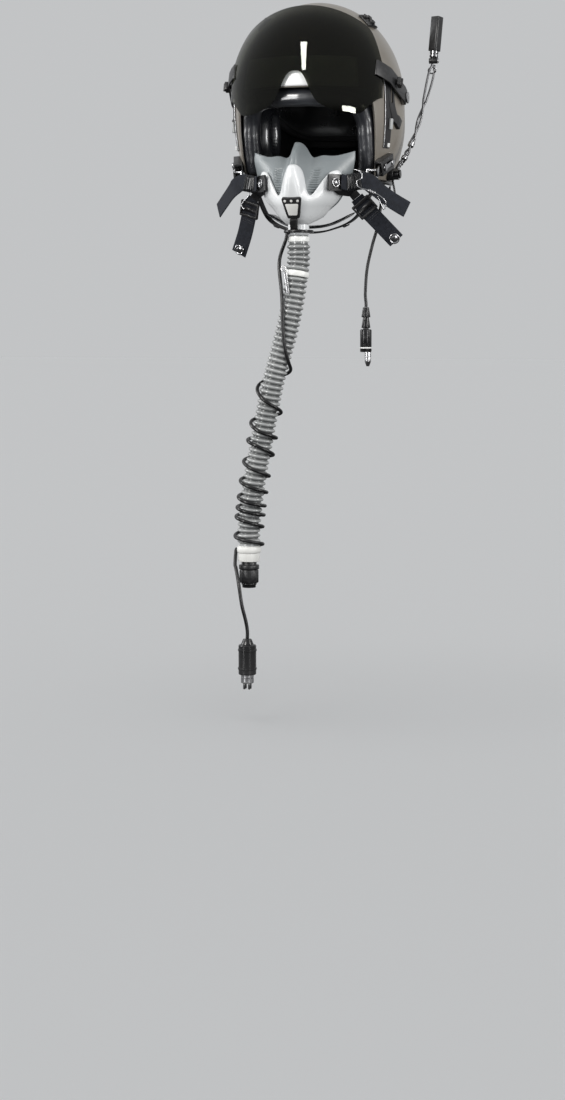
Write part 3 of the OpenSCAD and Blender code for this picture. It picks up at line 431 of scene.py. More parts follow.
def edgeWearGroup():
    # rubbed edges and small scuffs
    tree, into, out = shaderGroup("edgeWear", {"Reach": 0.5}, "Mask")
    edge = rampNode(tree, addNode(tree, "ShaderNodeNewGeometry").outputs["Pointiness"], 0.51, 0.6)
    patch = rampNode(tree, noiseNode(tree, into["Vector"], 260.0, 6.0), 0.48, 0.62)
    rubbed = mathNode(tree, "MULTIPLY", edge, patch)
    tree.links.new(mathNode(tree, "MULTIPLY", rubbed, into["Reach"], True), out["Mask"])
    return tree


def dustFilmGroup():
    # a thin film on what faces up
    tree, into, out = shaderGroup("dustFilm", {"Amount": 0.2}, "Mask")
    shape = addNode(tree, "ShaderNodeNewGeometry")
    split = addNode(tree, "ShaderNodeSeparateXYZ", vector=shape.outputs["Normal"])
    up = rampNode(tree, split.outputs[2], 0.2, 1.0)
    cover = rampNode(tree, noiseNode(tree, into["Vector"], 75.0, 7.0), 0.42, 0.75)
    settled = mathNode(tree, "MULTIPLY", up, cover)
    tree.links.new(mathNode(tree, "MULTIPLY", settled, into["Amount"], True), out["Mask"])
    return tree


groups = {"leather": leatherGrainGroup(), "weave": clothWeaveGroup(), "skin": mouldedSkinGroup(),
          "wear": edgeWearGroup(), "dust": dustFilmGroup()}
print("shader groups made")


def placeGroup(tree, group, vector, **values):
    node = tree.nodes.new("ShaderNodeGroup")
    node.node_tree = groups[group]
    tree.links.new(vector, node.inputs["Vector"])
    for key, value in values.items():
        node.inputs[key.title()].default_value = value
    return node


def tint(tree, factor, under, over):
    # lays one colour over another by a factor; each is a colour or a socket
    node = addNode(tree, "ShaderNodeMix", {"data_type": "RGBA"})
    tree.links.new(factor, node.inputs["Factor"])
    for label, colour in (("A", under), ("B", over)):
        if isinstance(colour, bpy.types.NodeSocket):
            tree.links.new(colour, node.inputs[label])
        else:
            node.inputs[label].default_value = (*colour, 1)
    return node.outputs["Result"]


def newShader(name):
    material = bpy.data.materials.new(name)
    material.use_nodes = True
    tree = material.node_tree
    return material, tree, tree.nodes["Principled BSDF"].inputs


finishSet = {"grainKey": {"leather": "cell", "weave": "threads", "skin": "grain"}, "mottle": (0.3, 0.7),
             "shineFrom": (0.25, 0.75), "leastRough": 0.02, "rubbedRough": 0.15, "dust": (0.42, 0.4, 0.37)}


def finish(name, base, second, roughness, texture="skin", grain=900.0, bump=0.15, distance=0.0002, wear=0.0,
           wearColor=None, dust=0.0, spread=0.1, crease=None, uv=False, lining=None, **shader):
    # one painted, moulded, leather, woven or metal finish; the shader's other values go on its sockets
    material, tree, sockets = newShader(name)
    coords = tree.nodes.new("ShaderNodeTexCoord").outputs
    values = {finishSet["grainKey"][texture]: grain}
    if crease is not None:
        values["crease"] = crease
    detail = placeGroup(tree, texture, coords["UV" if uv else "Object"], **values).outputs
    top = tint(tree, rampNode(tree, detail["Tone"], *finishSet["mottle"]), base, second)
    if lining:
        # the lining attribute marks what is darker: the shell's unpainted inside, and painted shade in the
        # hose's grooves and bore
        inside = addNode(tree, "ShaderNodeAttribute", {"attribute_name": "lining"})
        top = tint(tree, inside.outputs["Fac"], top, lining)
    least, most = max(finishSet["leastRough"], roughness - spread), min(1.0, roughness + spread)
    shine = rampNode(tree, detail["Tone"], *finishSet["shineFrom"], least, most)
    if wear:
        rub = placeGroup(tree, "wear", coords["Object"], reach=wear).outputs["Mask"]
        top = tint(tree, rub, top, wearColor or second)
        shine = mathNode(tree, "ADD", shine, mathNode(tree, "MULTIPLY", rub, finishSet["rubbedRough"]), True)
    if dust:
        film = placeGroup(tree, "dust", coords["Object"], amount=dust).outputs["Mask"]
        top = tint(tree, film, top, finishSet["dust"])
    relief = addNode(tree, "ShaderNodeBump", strength=bump, distance=distance, height=detail["Height"])
    tree.links.new(top, sockets["Base Color"])
    tree.links.new(shine, sockets["Roughness"])
    tree.links.new(relief.outputs["Normal"], sockets["Normal"])
    for key, value in shader.items():
        sockets[key.replace("_", " ").title().replace("Ior", "IOR")].default_value = value
    return material


shellPaint = finish("shellPaint", (0.145, 0.13, 0.11), (0.174, 0.157, 0.134), 0.38, grain=1500.0, bump=0.06,
                    wear=0.4, wearColor=(0.36, 0.34, 0.3), dust=0.12, lining=(0.012, 0.012, 0.013),
                    coat_weight=0.25, coat_roughness=0.2)
whitePanel = finish("whitePanel", (0.86, 0.87, 0.87), (0.8, 0.81, 0.81), 0.3, grain=500.0, bump=0.04)
linerFoam = finish("linerFoam", (0.02, 0.02, 0.021), (0.034, 0.034, 0.036), 0.9, grain=1400.0, bump=0.6,
                   distance=0.0004)
blackLeather = finish("blackLeather", (0.008, 0.0085, 0.0105), (0.015, 0.016, 0.019), 0.3, "leather",
                      bump=0.16, distance=0.0005, dust=0.02, spread=0.05, crease=0.5, coat_weight=0.9,
                      coat_roughness=0.2)
blackRubber = finish("blackRubber", (0.006, 0.006, 0.0065), (0.012, 0.012, 0.013), 0.3, grain=1200.0, bump=0.1,
                     dust=0.03, specular_ior_level=0.35)
mouldedBlack = finish("mouldedBlack", (0.008, 0.008, 0.0085), (0.016, 0.016, 0.017), 0.34, grain=1800.0,
                      bump=0.12, wear=0.35, wearColor=(0.08, 0.08, 0.083), dust=0.06, specular_ior_level=0.4)
blackWeb = finish("blackWeb", (0.01, 0.01, 0.011), (0.02, 0.02, 0.022), 0.78, "weave", grain=190.0, bump=0.6,
                  distance=0.0004, uv=True, specular_ior_level=0.25, sheen_weight=0.08, sheen_roughness=0.4)
greyWeb = finish("greyWeb", (0.009, 0.0102, 0.014), (0.017, 0.019, 0.025), 0.76, "weave", grain=190.0,
                 bump=0.6, distance=0.0004, uv=True, specular_ior_level=0.18, sheen_weight=0.04,
                 sheen_roughness=0.4)
brightSteel = finish("brightSteel", (0.46, 0.46, 0.47), (0.32, 0.32, 0.33), 0.22, grain=600.0, bump=0.08,
                     wear=0.4, wearColor=(0.6, 0.6, 0.58), metallic=1.0)
darkSteel = finish("darkSteel", (0.2, 0.2, 0.205), (0.12, 0.12, 0.125), 0.24, grain=600.0, bump=0.06,
                   metallic=1.0)
maskPlastic = finish("maskPlastic", (0.64, 0.655, 0.665), (0.56, 0.575, 0.585), 0.3, bump=0.05, wear=0.3,
                     wearColor=(0.3, 0.31, 0.32), coat_weight=0.3, coat_roughness=0.15)
maskRubber = finish("maskRubber", (0.165, 0.184, 0.192), (0.2, 0.22, 0.228), 0.4, grain=1100.0, bump=0.08)
whitePlastic = finish("whitePlastic", (0.72, 0.73, 0.72), (0.62, 0.62, 0.6), 0.32, grain=700.0, bump=0.05)
# the lining colour here is painted shade, laid into the grooves between the ribs and into the bore
hoseRubber = finish("hoseRubber", (0.25, 0.258, 0.258), (0.33, 0.338, 0.338), 0.24, grain=500.0, bump=0.1,
                    dust=0.06, lining=(0.035, 0.037, 0.038), coat_weight=0.4, coat_roughness=0.15)
plugBlack = finish("plugBlack", (0.006, 0.006, 0.0065), (0.013, 0.013, 0.014), 0.28, grain=1500.0, bump=0.08,
                   wear=0.3, wearColor=(0.1, 0.1, 0.1), specular_ior_level=0.4)
labelGrey = finish("labelGrey", (0.4, 0.41, 0.41), (0.33, 0.34, 0.34), 0.4, grain=800.0, bump=0.08)
threadBlack = finish("threadBlack", (0.03, 0.032, 0.036), (0.05, 0.053, 0.058), 0.6, grain=2200.0, bump=0.3)

smokeLens, lensTree, lensSockets = newShader("smokeLens")
lensCoords = lensTree.nodes.new("ShaderNodeTexCoord")
lensSkin = placeGroup(lensTree, "skin", lensCoords.outputs["Object"], grain=60.0)
lensShine = rampNode(lensTree, lensSkin.outputs["Tone"], 0.3, 0.8, 0.01, 0.03)
lensTree.links.new(lensShine, lensSockets["Roughness"])
for label, value in (("Base Color", (0.055, 0.057, 0.042, 1)), ("Transmission Weight", 1.0), ("IOR", 1.3),
                     ("Specular Tint", (1.0, 1.0, 0.9, 1))):
    lensSockets[label].default_value = value
print("finishes made")

# hose and cords first: their routes are the drawn ones
# one pair in this table sets the painted shade in the grooves: its power, and the most the base colour darkens
hoseSet = {"radius": 16.2, "depth": 3.3, "ribs": 56, "neck": 12, "neckRadius": 13.2, "lip": 0.6, "bore": 11.0,
           "sides": 40, "wobble": 0.25, "grooveShade": (1.6, 0.9), "front": (0, -1, 0),
           "rib": [(0.0, 0.0), (0.11, 0.06), (0.22, 0.5), (0.32, 0.86), (0.42, 0.98), (0.5, 1.0), (0.58, 0.98),
                   (0.68, 0.86), (0.78, 0.5), (0.89, 0.06)],
           "band": (50, 7.5), "bandEdge": [(0, -0.6), (0.02, 0.3), (0.12, 0.7), (0.5, 0.8), (0.88, 0.7),
                                           (0.98, 0.3), (1, -0.6)],
           "route": [[0, -118, -160], [0, -118, -177], [0, -118, -194], [-2, -121, -215], [-6, -124, -248],
                     [-13, -127, -285], [-22, -129, -320], [-33, -130, -360], [-42, -130, -403],
                     [-51, -130, -450], [-60, -130, -497], [-66, -129, -540], [-69, -128, -566],
                     [-69, -128, -583], [-69, -128, -600]]}
hoseShares = np.linspace(0, 1, 141)
hoseMarks = runMarks(curvePoints(hoseSet["route"], 140))
hoseLength = hoseMarks[-1]


def hoseAt(s):
    return curveAt(hoseSet["route"], float(np.interp(s, hoseMarks, hoseShares)))


def hoseDir(s):
    return curveDir(hoseSet["route"], float(np.interp(s, hoseMarks, hoseShares)))


def ribbedHose():
    neck, depth, big, throat = (hoseSet[k] for k in ("neck", "depth", "radius", "neckRadius"))
    pitch = (hoseLength - 2 * neck) / hoseSet["ribs"]
    stations = [(0, throat - hoseSet["lip"]), (1, throat), (neck - 2, throat)]
    for i in range(hoseSet["ribs"]):
        stations += [(neck + (i + u) * pitch, big - depth + depth * h) for u, h in hoseSet["rib"]]
    stations += [(hoseLength - neck, big - depth), (hoseLength - neck + 2, throat), (hoseLength - 1, throat),
                 (hoseLength, throat - hoseSet["lip"])]
    rings, shade = [], []
    power, most = hoseSet["grooveShade"]
    for s, r in stations:
        wobble = hoseSet["wobble"] * rough((s, 0, 3), 40)
        rings.append(ringAt(hoseAt(s), hoseDir(s), hoseSet["front"], r + wobble, hoseSet["sides"]))
        ribbed = neck <= s < hoseLength - neck
        shade += [clip((big - r) / depth) ** power * most if ribbed else 0.0] * hoseSet["sides"]
    for s in (hoseLength * (24 - i) / 24 for i in range(25)):
        rings.append(ringAt(hoseAt(s), hoseDir(s), hoseSet["front"], hoseSet["bore"], hoseSet["sides"]))
        shade += [1.0] * hoseSet["sides"]
    piece = loftPiece("breathingHose", rings, hoseRubber, True)
    # painted shade: the base colour darkens towards the bottom of each groove between the ribs, and the bore
    # is dark all through
    piece.data.attributes.new("lining", "FLOAT", "POINT").data.foreach_set("value", shade)
    return dress(piece, "hose")


def hoseBand():
    start, long = hoseSet["band"]
    rings = []
    for u, h in hoseSet["bandEdge"]:
        s = start + long * u
        rings.append(ringAt(hoseAt(s), hoseDir(s), hoseSet["front"], hoseSet["radius"] + h, 48))
    dress(loftPiece("hoseBand", rings, whitePlastic), body="mask", slot="white_plastic")


hosePiece = ribbedHose()
hoseBand()

# the microphone's cord, as (place along the hose, turn round it, distance from its axis)
micCordSet = {"diameter": 5.0, "near": hoseSet["radius"] + 2.5 + 0.7, "step": 11.25, "rise": 3.0,
              "start": (0, -49, 17.6),
              "free": [[0, -49, 17.6], [8, -52, 18.2], [16, -62, 22], [28, -74, 27], [42, -78, 28.5],
                       [58, -66, 24], [75, -50, 20.0], [90, -38, 19.4], [105, -26, 19.4], [120, -13, 19.4],
                       [135, 0, 19.4], [150, 14, 19.4], [163, 34, 19.4], [172, 56, 19.4]],
              "turns": [[75, 178], [360, 233], [720, 276], [1080, 296], [1440, 329], [1800, 354], [2160, 376],
                        [2520, 389], [2880, 402], [3240, 430], [3510, 446]],
              "tail": [[-86, -140, -616], [-80, -149, -632], [-75, -156, -650], [-71, -158, -672],
                       [-66, -156, -694], [-64, -155, -708], [-64, -155, -719]]}


def cordPoint(s, turn, reach):
    p, d = hoseAt(s), hoseDir(s)
    u = unit(np.cross(d, (0, 1, 0)))
    v = np.cross(u, d)
    front = v * (-1 if v[1] > 0 else 1)
    side = u * (-1 if u[0] < 0 else 1)
    a = math.radians(turn)
    return p + reach * (math.cos(a) * front + math.sin(a) * side)


def woundCord():
    turned, along = zip(*micCordSet["turns"])
    path = [cordPoint(*micCordSet["start"]) + np.array([0, 0, micCordSet["rise"]])]
    path += [cordPoint(*q) for q in micCordSet["free"]]
    for k in range(int((turned[-1] - turned[0]) / micCordSet["step"]) + 1):
        a = turned[0] + k * micCordSet["step"]
        path.append(cordPoint(float(np.interp(a, turned, along)), a, micCordSet["near"]))
    path += curvePoints(micCordSet["tail"], 20)
    fine = relaxed(curvePoints(path, len(path) * 2), 9, 32)
    piece = tubePiece("microphoneCord", fine, micCordSet["diameter"] / 2, blackRubber, 12, (0.3, -0.2, 0.93))
    return dress(piece, "mic_cord"), fine


micCordPiece, micCordLine = woundCord()

headCordSet = {"diameter": 4.4,
               "route": [[94, -4, -72.3], [94, -4, -84], [94, -9, -101], [93, -20, -124], [91, -29, -148],
                         [85, -32, -171], [78, -34, -204], [76, -36, -238], [77, -36, -252], [77, -36, -258]]}
headCordLine = curvePoints(headCordSet["route"], 70)
headCordPiece = tubePiece("headsetCord", headCordLine, headCordSet["diameter"] / 2, blackRubber, 12,
                          (0.2, 1, 0.1))
dress(headCordPiece, "head_cord")

leadSet = {"diameter": 3.0,
           "route": [[110, -15, -81.2], [112, -16.5, -90], [114.5, -18.5, -99.5], [113, -18, -108.5],
                     [107.5, -12, -112.5], [103.2, -3.5, -108.5], [102, 2.5, -98.5], [102, 4, -88]]}
leadLine = relaxed(curvePoints(leadSet["route"], 50), 30)
leadPiece = tubePiece("boomLead", leadLine, leadSet["diameter"] / 2, blackRubber, 10, (0.2, 1, 0.3))
dress(leadPiece, "boom_lead")
print("hose and cords laid")

softSet = {"merge": 0.00001, "flat": 1.5, "segments": 2, "sharp": 40}


def softened(name, node, material, width=0.5, angle=38):
    # the CAD solid with its sharp edges rounded, as a moulding or a stamping has them
    mesh = nodes[node].data.copy()
    piece = linkObject(name, mesh)
    shaped = bmesh.new()
    shaped.from_mesh(mesh)
    bmesh.ops.remove_doubles(shaped, verts=shaped.verts, dist=softSet["merge"])
    bmesh.ops.dissolve_limit(shaped, angle_limit=math.radians(softSet["flat"]), verts=shaped.verts,
                             edges=shaped.edges)
    shaped.to_mesh(mesh)
    shaped.free()
    mesh.materials.clear()
    mesh.materials.append(material)
    if width:
        bevel = piece.modifiers.new("edges", "BEVEL")
        bevel.width = width / 1000
        bevel.segments = softSet["segments"]
        bevel.limit_method = "ANGLE"
        bevel.angle_limit = math.radians(angle)
        bevel.use_clamp_overlap = True
        applyModifiers(piece)
    shadeSmooth(piece.data)
    sharpen(piece, softSet["sharp"])
    return dress(piece, node)


# the shell and everything built on its surface: places on it are angles from the brow and heights
shellSet = {"rx": 119, "front": 137, "back": 140, "domeZ": 35, "domeH": 134, "skirtH": 230, "wall": 3.5,
            "swell": 4, "swellFrom": (65, 25), "swellZ": (-20, 38), "browZ": 40, "hemZ": -80, "napeZ": -68,
            "rimTurn": (50, 16), "napeTurn": 80, "rows": 44,
            "lip": ((0.12, 0.6), (0.32, 0.95), (0.68, 0.95), (0.88, 0.6)),
            "angles": [0, 12, 24, 36, 45, 50, 53, 56, 59, 62, 66, 74, 84, 96, 110, 125, 140, 155, 168, 180]}


def swellAt(angle, z):
    start, long = shellSet["swellFrom"]
    middle, high = shellSet["swellZ"]
    return 1 + shellSet["swell"] / shellSet["rx"] * ease((abs(angle) - start) / long) * bell(z - middle, high)


def domePoint(off, angle, tilt):
    c, s = math.cos(tilt), math.sin(tilt)
    z = shellSet["domeZ"] + (shellSet["domeH"] - off if c >= 0 else shellSet["skirtH"]) * c
    depth = shellSet["front"] if abs(angle) < 90 else shellSet["back"]
    a = math.radians(angle)
    wide = shellSet["rx"] * swellAt(angle, z) - off
    return np.array([wide * s * math.sin(a), -(depth - off) * s * math.cos(a), z])


def tiltAt(off, z):
    below = z < shellSet["domeZ"]
    return math.acos((z - shellSet["domeZ"]) / (shellSet["skirtH"] if below else shellSet["domeH"] - off))


def onDome(off, angle, z):
    return domePoint(off, angle, tiltAt(off, z))


def domeOut(angle, z):
    u = onDome(0, angle, z + 0.5) - onDome(0, angle, z - 0.5)
    v = onDome(0, angle + 0.5, z) - onDome(0, angle - 0.5, z)
    return facing(unit(np.cross(v, u)), onDome(0, angle, z))


def sideX(y, z):
    c = (z - shellSet["domeZ"]) / (shellSet["skirtH"] if z < shellSet["domeZ"] else shellSet["domeH"])
    d = shellSet["front"] if y < 0 else shellSet["back"]
    angle = 90 + math.degrees(math.asin(y / d / math.sqrt(1 - c * c)))
    return shellSet["rx"] * swellAt(angle, z) * math.sqrt(max(0, 1 - c * c - (y / d) ** 2))


def rimZ(angle):
    a = abs(angle)
    start, long = shellSet["rimTurn"]
    if a < 90:
        return mix(shellSet["browZ"], shellSet["hemZ"], ease((a - start) / long))
    return mix(shellSet["hemZ"], shellSet["napeZ"], ease((a - 90) / shellSet["napeTurn"]))


def fromBack(angle):
    return angle - 360 if angle > 180 else angle


def fineAngles(split):
    half = []
    for a, b in zip(shellSet["angles"], shellSet["angles"][1:]):
        half += [mix(a, b, k / split) for k in range(split)]
    half.append(180)
    return [-a for a in half[-2:0:-1]] + half


def domePiece(name, outerOff, innerOff, edge, rows, split, material, lip=1.0, puff=None):
    # outer skin, rolled lip and inner skin of a form that follows the dome
    columns = fineAngles(split)
    grid = []
    for i in range(1, rows + 1):
        grid.append([domePoint(outerOff, a, tiltAt(outerOff, edge(a)) * i / rows) for a in columns])
    for share, drop in shellSet["lip"]:
        down = np.array([0, 0, drop * lip])
        grid.append([mix(onDome(outerOff, a, edge(a)), onDome(innerOff, a, edge(a)), share) - down
                     for a in columns])
    for i in range(rows, 0, -1):
        row = []
        for a in columns:
            tilt = tiltAt(innerOff, edge(a)) * i / rows
            row.append(domePoint(innerOff + (puff(a, i / rows) if puff else 0), a, tilt))
        grid.append(row)
    m = len(columns)
    points = [p for row in grid for p in row] + [domePoint(outerOff, 0, 0), domePoint(innerOff, 0, 0)]
    faces = gridFaces(len(grid), m, 0, True)
    last = (len(grid) - 1) * m
    faces += [(len(points) - 2, (j + 1) % m, j) for j in range(m)]
    faces += [(len(points) - 1, last + j, last + (j + 1) % m) for j in range(m)]
    return meshPiece(name, points, faces, material)


def outerShell():
    rows = shellSet["rows"]
    piece = domePiece("outerShell", 0, shellSet["wall"], rimZ, rows, 4, shellPaint)
    # the last row of the lip, the inner rows and the inner pole are left in the dark base coat
    count = len(piece.data.vertices)
    painted = (rows + 3) * (count - 2) / (2 * rows + 4)
    shade = [float(k > painted and k != count - 2) for k in range(count)]
    piece.data.attributes.new("lining", "FLOAT", "POINT").data.foreach_set("value", shade)
    dress(piece, "shell")


# foam liner, and the fitted liner inside it with its soft ribs
linerSet = {"foamEdge": (44, 40, -12), "foamTurns": ((40, 40), (90, 70)), "foam": (4.7, 21.7),
            "fitted": (22.65, 26.4), "above": 6, "lip": 1.5, "puff": 2.3, "ribs": 6, "fill": 0.7}


def foamEdge(a):
    a = abs(a)
    front, side, nape = linerSet["foamEdge"]
    (first, firstLong), (second, secondLong) = linerSet["foamTurns"]
    if a < 90:
        return mix(front, side, ease((a - first) / firstLong))
    return mix(side, nape, ease((a - second) / secondLong))


def linerPuff(a, t):
    ribs = abs(math.sin(math.radians(a * linerSet["ribs"]))) ** 0.6
    return linerSet["puff"] * ribs * math.sin(math.pi * clip(t * 1.02)) ** 0.5


outerShell()
dress(domePiece("impactLiner", *linerSet["foam"], foamEdge, 20, 2, linerFoam, linerSet["lip"]), "impact_liner")
linerPiece = domePiece("fittedLiner", *linerSet["fitted"], lambda a: foamEdge(a) + linerSet["above"], 26, 5,
                       blackLeather, linerSet["lip"], linerPuff)
dress(linerPiece, "fit_liner")

panelSet = {"off": -0.4, "thick": 1.0, "half": 42, "z": (41, 82), "rows": 14, "columns": 60}


def browPanel():
    def grid(off):
        rows, columns, half = panelSet["rows"], panelSet["columns"], panelSet["half"]
        low, high = panelSet["z"]
        return [[onDome(off, mix(-half, half, j / columns), mix(high, low, i / rows))
                 for j in range(columns + 1)] for i in range(rows + 1)]
    outer, inner = grid(panelSet["off"] - panelSet["thick"]), grid(panelSet["off"])
    dress(sheetPiece("browPanel", outer, inner, whitePanel), "brow_panel")


browPanel()

# padded roll round the face opening, creased where it bends
rollSet = {"radius": 12.5, "inset": 2.6, "sides": 48, "steps": 260, "fill": 0.75, "creases": (0.42, 15),
           "puckers": (0.22, 3.1, 24), "seam": (-1.1, 3.9, 0.07), "shrink": 0.3, "around": 0.078,
           "ends": (0.25, 0.02),
           "route": [[64, -70], [61, -48], [57.5, -20], [54, 2], [46, 19], [33, 26], [16, 27], [0, 27]]}
rollDepth = shellSet["wall"] + rollSet["radius"] + rollSet["inset"]
rollHalf = [onDome(rollDepth, a, z) for a, z in rollSet["route"]]
rollLine = curvePoints(rollHalf + [np.array(mirrored(p)) for p in rollHalf[-2::-1]], rollSet["steps"])


def leatherRoll():
    rings, uvs, run = [], [], 0
    sides, radius = rollSet["sides"], rollSet["radius"]
    least, endLong = rollSet["ends"]
    creaseHigh, creaseWide = rollSet["creases"]
    puckerHigh, puckerPitch, puckerWander = rollSet["puckers"]
    seamHigh, seamTurn, seamWide = rollSet["seam"]
    for i, p in enumerate(rollLine):
        t = i / rollSet["steps"]
        if i:
            run += np.linalg.norm(p - rollLine[i - 1])
        ends = min(1.0, least + math.sqrt(clip(min(t, 1 - t) / endLong)) * (1 - least))

        def bump(a, n, p=p, ends=ends, run=run):
            q = p + n * 12
            fold = creaseHigh * rough(q, creaseWide)
            wave = math.sin(run / puckerPitch + 1.3 * rough(q, puckerWander)) * max(0, -math.cos(a - 0.6)) ** 3
            seam = seamHigh * bell(a - seamTurn, seamWide)
            return (fold + puckerHigh * wave + seam - rollSet["shrink"]) - (1 - ends) * radius
        rings.append(ringAt(p, wayAt(rollLine, i), (0, -0.3, -1), radius, sides, bump))
        uvs += [(j / sides * rollSet["around"], run / 1000) for j in range(sides)]
    piece = dress(loftPiece("faceRoll", rings, blackLeather, False, uvs), "edge_roll")
    return piece


rollPiece = leatherRoll()

beadSet = {"from": 67, "to": 293, "steps": 120, "drop": 3.7, "radius": 3.0}
beadAngles = [mix(beadSet["from"], beadSet["to"], i / beadSet["steps"]) for i in range(beadSet["steps"] + 1)]
beadLine = [onDome(shellSet["wall"] / 2, a, rimZ(a) - beadSet["drop"]) for a in map(fromBack, beadAngles)]
dress(tubePiece("rimBead", beadLine, beadSet["radius"], blackRubber, 12, (0, 0, 1)), "edge_bead")
print("shell and lining made")

# ear cushions: crowned rings with drawn-in sides
cushionSet = {"x": 83.7, "y": 4, "z": -14, "wide": 68, "high": 84, "thick": 18, "ring": 17, "over": 1,
              "square": 2.4, "steps": 112, "fine": 32, "fill": 0.65, "foldHigh": 0.35, "foldWide": 8,
              "outerPucker": (0.45, 38, 0.86, 0.12), "innerPucker": (0.3, 30, 0.1, 0.08),
              "section": [[0.06, 0], [0.0, 0.3], [0.1, 0.72], [0.32, 0.96], [0.62, 1.0], [0.88, 0.8],
                          [1.0, 0.36], [0.9, 0]]}


def earCushion(name, node, sign):
    rings = []
    steps, fine, square, ring = (cushionSet[k] for k in ("steps", "fine", "square", "ring"))
    section = curvePoints([q + [0] for q in cushionSet["section"]], fine)
    halfWide = cushionSet["wide"] / 2 + cushionSet["over"]
    halfHigh = cushionSet["high"] / 2 + cushionSet["over"]
    outerHigh, outerTurns, outerAt, outerWide = cushionSet["outerPucker"]
    innerHigh, innerTurns, innerAt, innerWide = cushionSet["innerPucker"]
    for i in range(steps):
        a = 2 * math.pi * i / steps
        side = (abs(math.cos(a)) ** square + abs(math.sin(a)) ** square) ** (-1 / square)
        points = []
        for k, q in enumerate(section):
            reach = 1 - ring * 2 * q[0] / cushionSet["wide"]
            p = np.array([-cushionSet["thick"] * q[1], halfWide * reach * side * math.cos(a),
                          (halfHigh - ring * q[0]) * side * math.sin(a)])
            wave = math.sin(a * outerTurns + 2 * rough(p, 14))
            pucker = outerHigh * wave * bell(k / fine - outerAt, outerWide)
            pucker += innerHigh * math.sin(a * innerTurns) * bell(k / fine - innerAt, innerWide)
            fold = cushionSet["foldHigh"] * rough((p[0] * sign, p[1], p[2] + 40), cushionSet["foldWide"], 3)
            p = p + np.array([-1, 0, 0]) * fold * (q[1] > 0.3) + unit(np.array([0, p[1], p[2]])) * pucker
            points.append([sign * (cushionSet["x"] + p[0]), cushionSet["y"] + p[1], cushionSet["z"] + p[2]])
        rings.append(points)
    piece = dress(loftPiece(name, rings, blackLeather, True), node)
    return piece


cushions = [earCushion("leftEarCushion", "ear_cushion_left", 1),
            earCushion("rightEarCushion", "ear_cushion_right", -1)]


def pillowSheet(name, top, bottom, material, crown=0.5):
    # two grids that meet in a rolled edge
    n, m = len(top), len(top[0])
    outer, inner = [], []
    for i in range(n):
        rowOut, rowIn = [], []
        for j in range(m):
            u, v = 2 * i / (n - 1) - 1, 2 * j / (m - 1) - 1
            full = ((1 - abs(u) ** 5) * (1 - abs(v) ** 7)) ** crown
            middle = (np.array(top[i][j]) + np.array(bottom[i][j])) / 2
            rowOut.append(mix(middle, np.array(top[i][j]), full))
            rowIn.append(mix(middle, np.array(bottom[i][j]), full))
        outer.append(rowOut)
        inner.append(rowIn)
    return sheetPiece(name, outer, inner, material)


napeSet = {"rows": 22, "columns": 60, "angles": (148, 212), "back": (6.2, -64, -20), "face": (20.2, -60, -25),
           "creases": (0.7, 11), "groove": (2.2, 0.012), "fill": 0.7}


def napePad():
    rows, columns = napeSet["rows"], napeSet["columns"]
    creaseHigh, creaseWide = napeSet["creases"]
    grooveDeep, grooveWide = napeSet["groove"]

    def grid(off, z0, z1, fold):
        made = []
        for i in range(rows + 1):
            row = []
            for j in range(columns + 1):
                crease = fold * creaseHigh * rough((j * 3.1, i * 2.7, 5), creaseWide, 3)
                groove = fold * grooveDeep * bell(j / columns - 0.5, grooveWide)
                angle = fromBack(mix(*napeSet["angles"], j / columns))
                row.append(onDome(off + crease - groove, angle, mix(z1, z0, i / rows)))
            made.append(row)
        return made
    piece = pillowSheet("napePad", grid(*napeSet["back"], 0), grid(*napeSet["face"], -1), blackLeather)
    dress(piece, "nape_pad")


napePad()

# chin strap and the pad on it
chinSet = {"wide": 20, "thick": 2.4, "top": (-34, -24, -64), "inset": 3.4, "side": [83, -30, -98],
           "low": [[62, -42, -134], [30, -52, -150]], "middle": [0, -56, -154], "across": (0, 1, 0.1)}
chinPadSet = {"wide": 26, "columns": 24, "steps": 60, "half": 2.0, "above": 3.4, "creases": (0.25, 9),
              "seam": (0.5, 9, 0.6), "crown": 0.45, "fill": 0.5}
topY, chinY, chinZ = chinSet["top"]
chinTop = [sideX(topY, chinZ) - shellSet["wall"] - chinSet["inset"], chinY, chinZ]
chinHalf = [chinTop, chinSet["side"]] + chinSet["low"]
chinLine = curvePoints(chinHalf + [chinSet["middle"]] + [mirrored(p) for p in chinHalf[::-1]], 120)
chinStrap = bandPiece("chinStrap", chinLine, chinSet["wide"], chinSet["thick"], blackWeb, chinSet["across"])
dress(chinStrap, "chin_strap")


def chinPad():
    low = chinSet["low"]
    lift = chinSet["thick"] / 2 + chinPadSet["above"]
    route = [low[0], low[1], chinSet["middle"], mirrored(low[1]), mirrored(low[0])]
    route = [np.array(p) + np.array([p[0] * 0.01, 0, lift - abs(p[0]) * 0.008]) for p in route]
    line = [p * 0.985 + np.array([0, 0, 1]) for p in curvePoints(route, chinPadSet["steps"])]
    creaseHigh, creaseWide = chinPadSet["creases"]
    seamDeep, seamAt, seamWide = chinPadSet["seam"]
    top, bottom = [], []
    for i, p in enumerate(line):
        d = wayAt(line, i)
        n = facing(unit(np.cross(d, chinSet["across"])), (0, 0, 1))
        s = np.cross(n, d)
        rowTop, rowBottom = [], []
        for j in range(chinPadSet["columns"] + 1):
            w = (j / chinPadSet["columns"] - 0.5) * chinPadSet["wide"]
            crease = creaseHigh * rough((i * 3, w * 2, 1), creaseWide, 3)
            crease -= seamDeep * bell(abs(w) - seamAt, seamWide)
            rowTop.append(p + s * w + n * (chinPadSet["half"] + crease))
            rowBottom.append(p + s * w - n * chinPadSet["half"])
        top.append(rowTop)
        bottom.append(rowBottom)
    piece = pillowSheet("chinPad", top, bottom, blackLeather, chinPadSet["crown"])
    dress(piece, "chin_pad")


chinPad()
print("padding and chin strap made")

